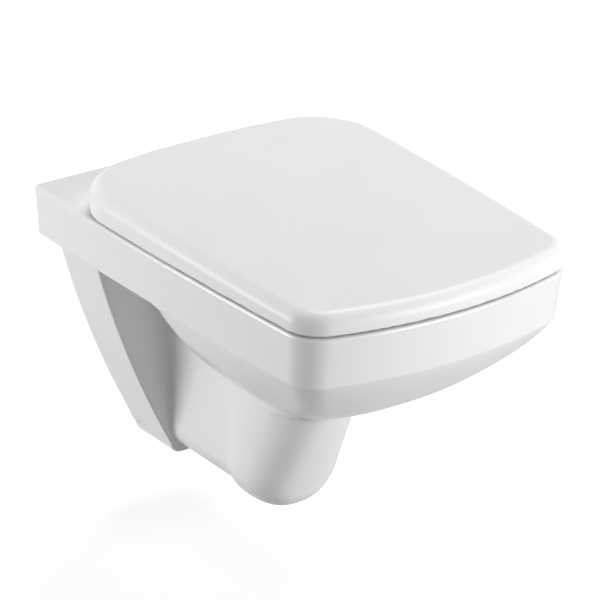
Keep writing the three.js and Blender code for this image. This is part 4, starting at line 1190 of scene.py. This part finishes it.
edge_widths = {"hinge_bracket": 0.8 * mm, "hinge_cap": 1.0 * mm, "hinge_gasket": 0.3 * mm,
               "wall_nut": 0.5 * mm, "wall_washer": 0.4 * mm, "seat_cone_nut": 0.4 * mm}
for side in ("left", "right"):
    for kind, width in edge_widths.items():
        made = softened(f"{kind}_{side}", "pan", width)
        print(made.name, triangle_count(made), "triangles")

# %% [markdown]
# ## The floor, the light and the camera
#
# The pan hangs 400 mm from its rim to the floor. The floor is pale and matt and catches the soft
# shadow. The camera sees it glow a little, more so further out, so it reads as a white studio, and
# the glaze mirrors less of that glow.

# %% The floor
floor_height, floor_half = rim - 400 * mm, 9.0
floor_white, near_glow, far_glow, glow_from, glow_to = 0.45, 0.68, 1.0, 0.6, 2.2
mirrored_share = 0.42
floor_data = bpy.data.meshes.new("studio_floor")
floor_data.from_pydata([(x * floor_half, y * floor_half, floor_height)
                        for x, y in ((-1, -1), (1, -1), (1, 1), (-1, 1))], [], [(0, 1, 2, 3)])
floor = new_object("studio_floor", floor_data)
floor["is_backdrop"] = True


def seen_directly(tree, mirrored=1.0):
    """A node: 1 for rays from the camera or through glass, a share for mirrored ones, else 0."""
    path, weaker, seen, most = nodes_of(tree, "ShaderNode", "LightPath", "Math", "Math", "Math")
    weaker.operation, seen.operation, most.operation = "MULTIPLY", "MAXIMUM", "MAXIMUM"
    preset(weaker, {1: mirrored})
    wired(tree, (path, "Is Glossy Ray", weaker, 0), (path, "Is Camera Ray", seen, 0),
          (weaker, 0, seen, 1), (seen, 0, most, 0), (path, "Is Transmission Ray", most, 1))
    return most


def studio_white(name):
    """A matt white with a glow that only direct and mirrored rays see."""
    made = bpy.data.materials.new(name)
    tree = blank_tree(made)
    most = seen_directly(tree, mirrored_share)
    place, away, glow, scaled, matt, light, both, end = nodes_of(
        tree, "ShaderNode", "TexCoord", "VectorMath", "MapRange", "Math", "BsdfDiffuse", "Emission",
        "AddShader", "OutputMaterial")
    away.operation, glow.interpolation_type, scaled.operation = "LENGTH", "SMOOTHSTEP", "MULTIPLY"
    preset(glow, {"From Min": glow_from, "From Max": glow_to, "To Min": near_glow, "To Max": far_glow})
    preset(matt, {"Color": (floor_white, floor_white, floor_white, 1)})
    wired(tree, (place, "Object", away, 0), (away, "Value", glow, "Value"),
          (glow, "Result", scaled, 0), (most, 0, scaled, 1), (scaled, 0, light, "Strength"),
          (matt, 0, both, 0), (light, 0, both, 1), (both, 0, end, "Surface"))
    return made


floor_data.materials.append(studio_white("studio_floor_white"))
print("floor at", round(floor_height / mm), "mm")

# %% [markdown]
# The light is soft: an even sky, dim for the surfaces it lights and white for whoever looks at it,
# and four large panels. The panels' strengths were fitted so that the pan's sides, top and
# underside each come close to their tone in the photo.

# %% The light
world = bpy.data.worlds.new("studio")
bpy.context.scene.world = world
tree = blank_tree(world)
most = seen_directly(tree)
even, white, choose, end = nodes_of(
    tree, "ShaderNode", "Background", "Background", "MixShader", "OutputWorld")
for background, strength in ((even, 0.12), (white, 1.0)):
    preset(background, {"Color": (1, 1, 1, 1), "Strength": strength})
wired(tree, (most, 0, choose, "Fac"), (even, 0, choose, 1), (white, 0, choose, 2),
      (choose, 0, end, "Surface"))

panel_size, aim = 1.6, Vector((0, -0.27, 0))
for name, place, power in (
    ("front_panel", (1.3, -3.0, 0.6), 77),
    ("back_left_panel", (-2.2, 1.6, 2.0), 26),
    ("low_left_panel", (-2.8, 1.6, 0.1), 82),
    ("top_panel", (1.2, 0.5, 2.7), 50),
):
    data = bpy.data.lights.new(name, "AREA")
    data.shape, data.size, data.energy = "SQUARE", panel_size, power
    panel = new_object(name, data)
    panel.location = place
    panel.rotation_euler = (aim - Vector(place)).to_track_quat("-Z", "Y").to_euler()
    print(name, power, "W")

# %% [markdown]
# The camera stands far off with a long lens, so that the pan's parallel edges stay almost parallel,
# as in a catalogue picture.

# %% The camera
camera_data = bpy.data.cameras.new("camera")
camera_data.lens, camera_data.sensor_width = 270, 36
camera_data.clip_end = 60
camera = new_object("camera", camera_data)
azimuth, elevation = math.radians(-34.6966), math.radians(24.1317)
back = Vector((math.sin(azimuth) * math.cos(elevation), -math.cos(azimuth) * math.cos(elevation),
               math.sin(elevation)))
camera.location = (-2.46224, -3.80493, 1.93045)
camera.rotation_euler = (-back).to_track_quat("-Z", "Y").to_euler()
bpy.context.scene.camera = camera
bpy.context.scene.view_settings.view_transform = "Standard"
print("camera at", [round(v, 2) for v in camera.location])

# %% [markdown]
# Last, both boxes are measured and kept: the CAD frame's, and that of everything in view.

# %% Sizes at the end
bpy.context.view_layer.update()
visual_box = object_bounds()
for name, box in (("CAD", cad_box), ("visual", visual_box)):
    print(name, "box in mm", [[round(v / mm, 1) for v in corner] for corner in box])
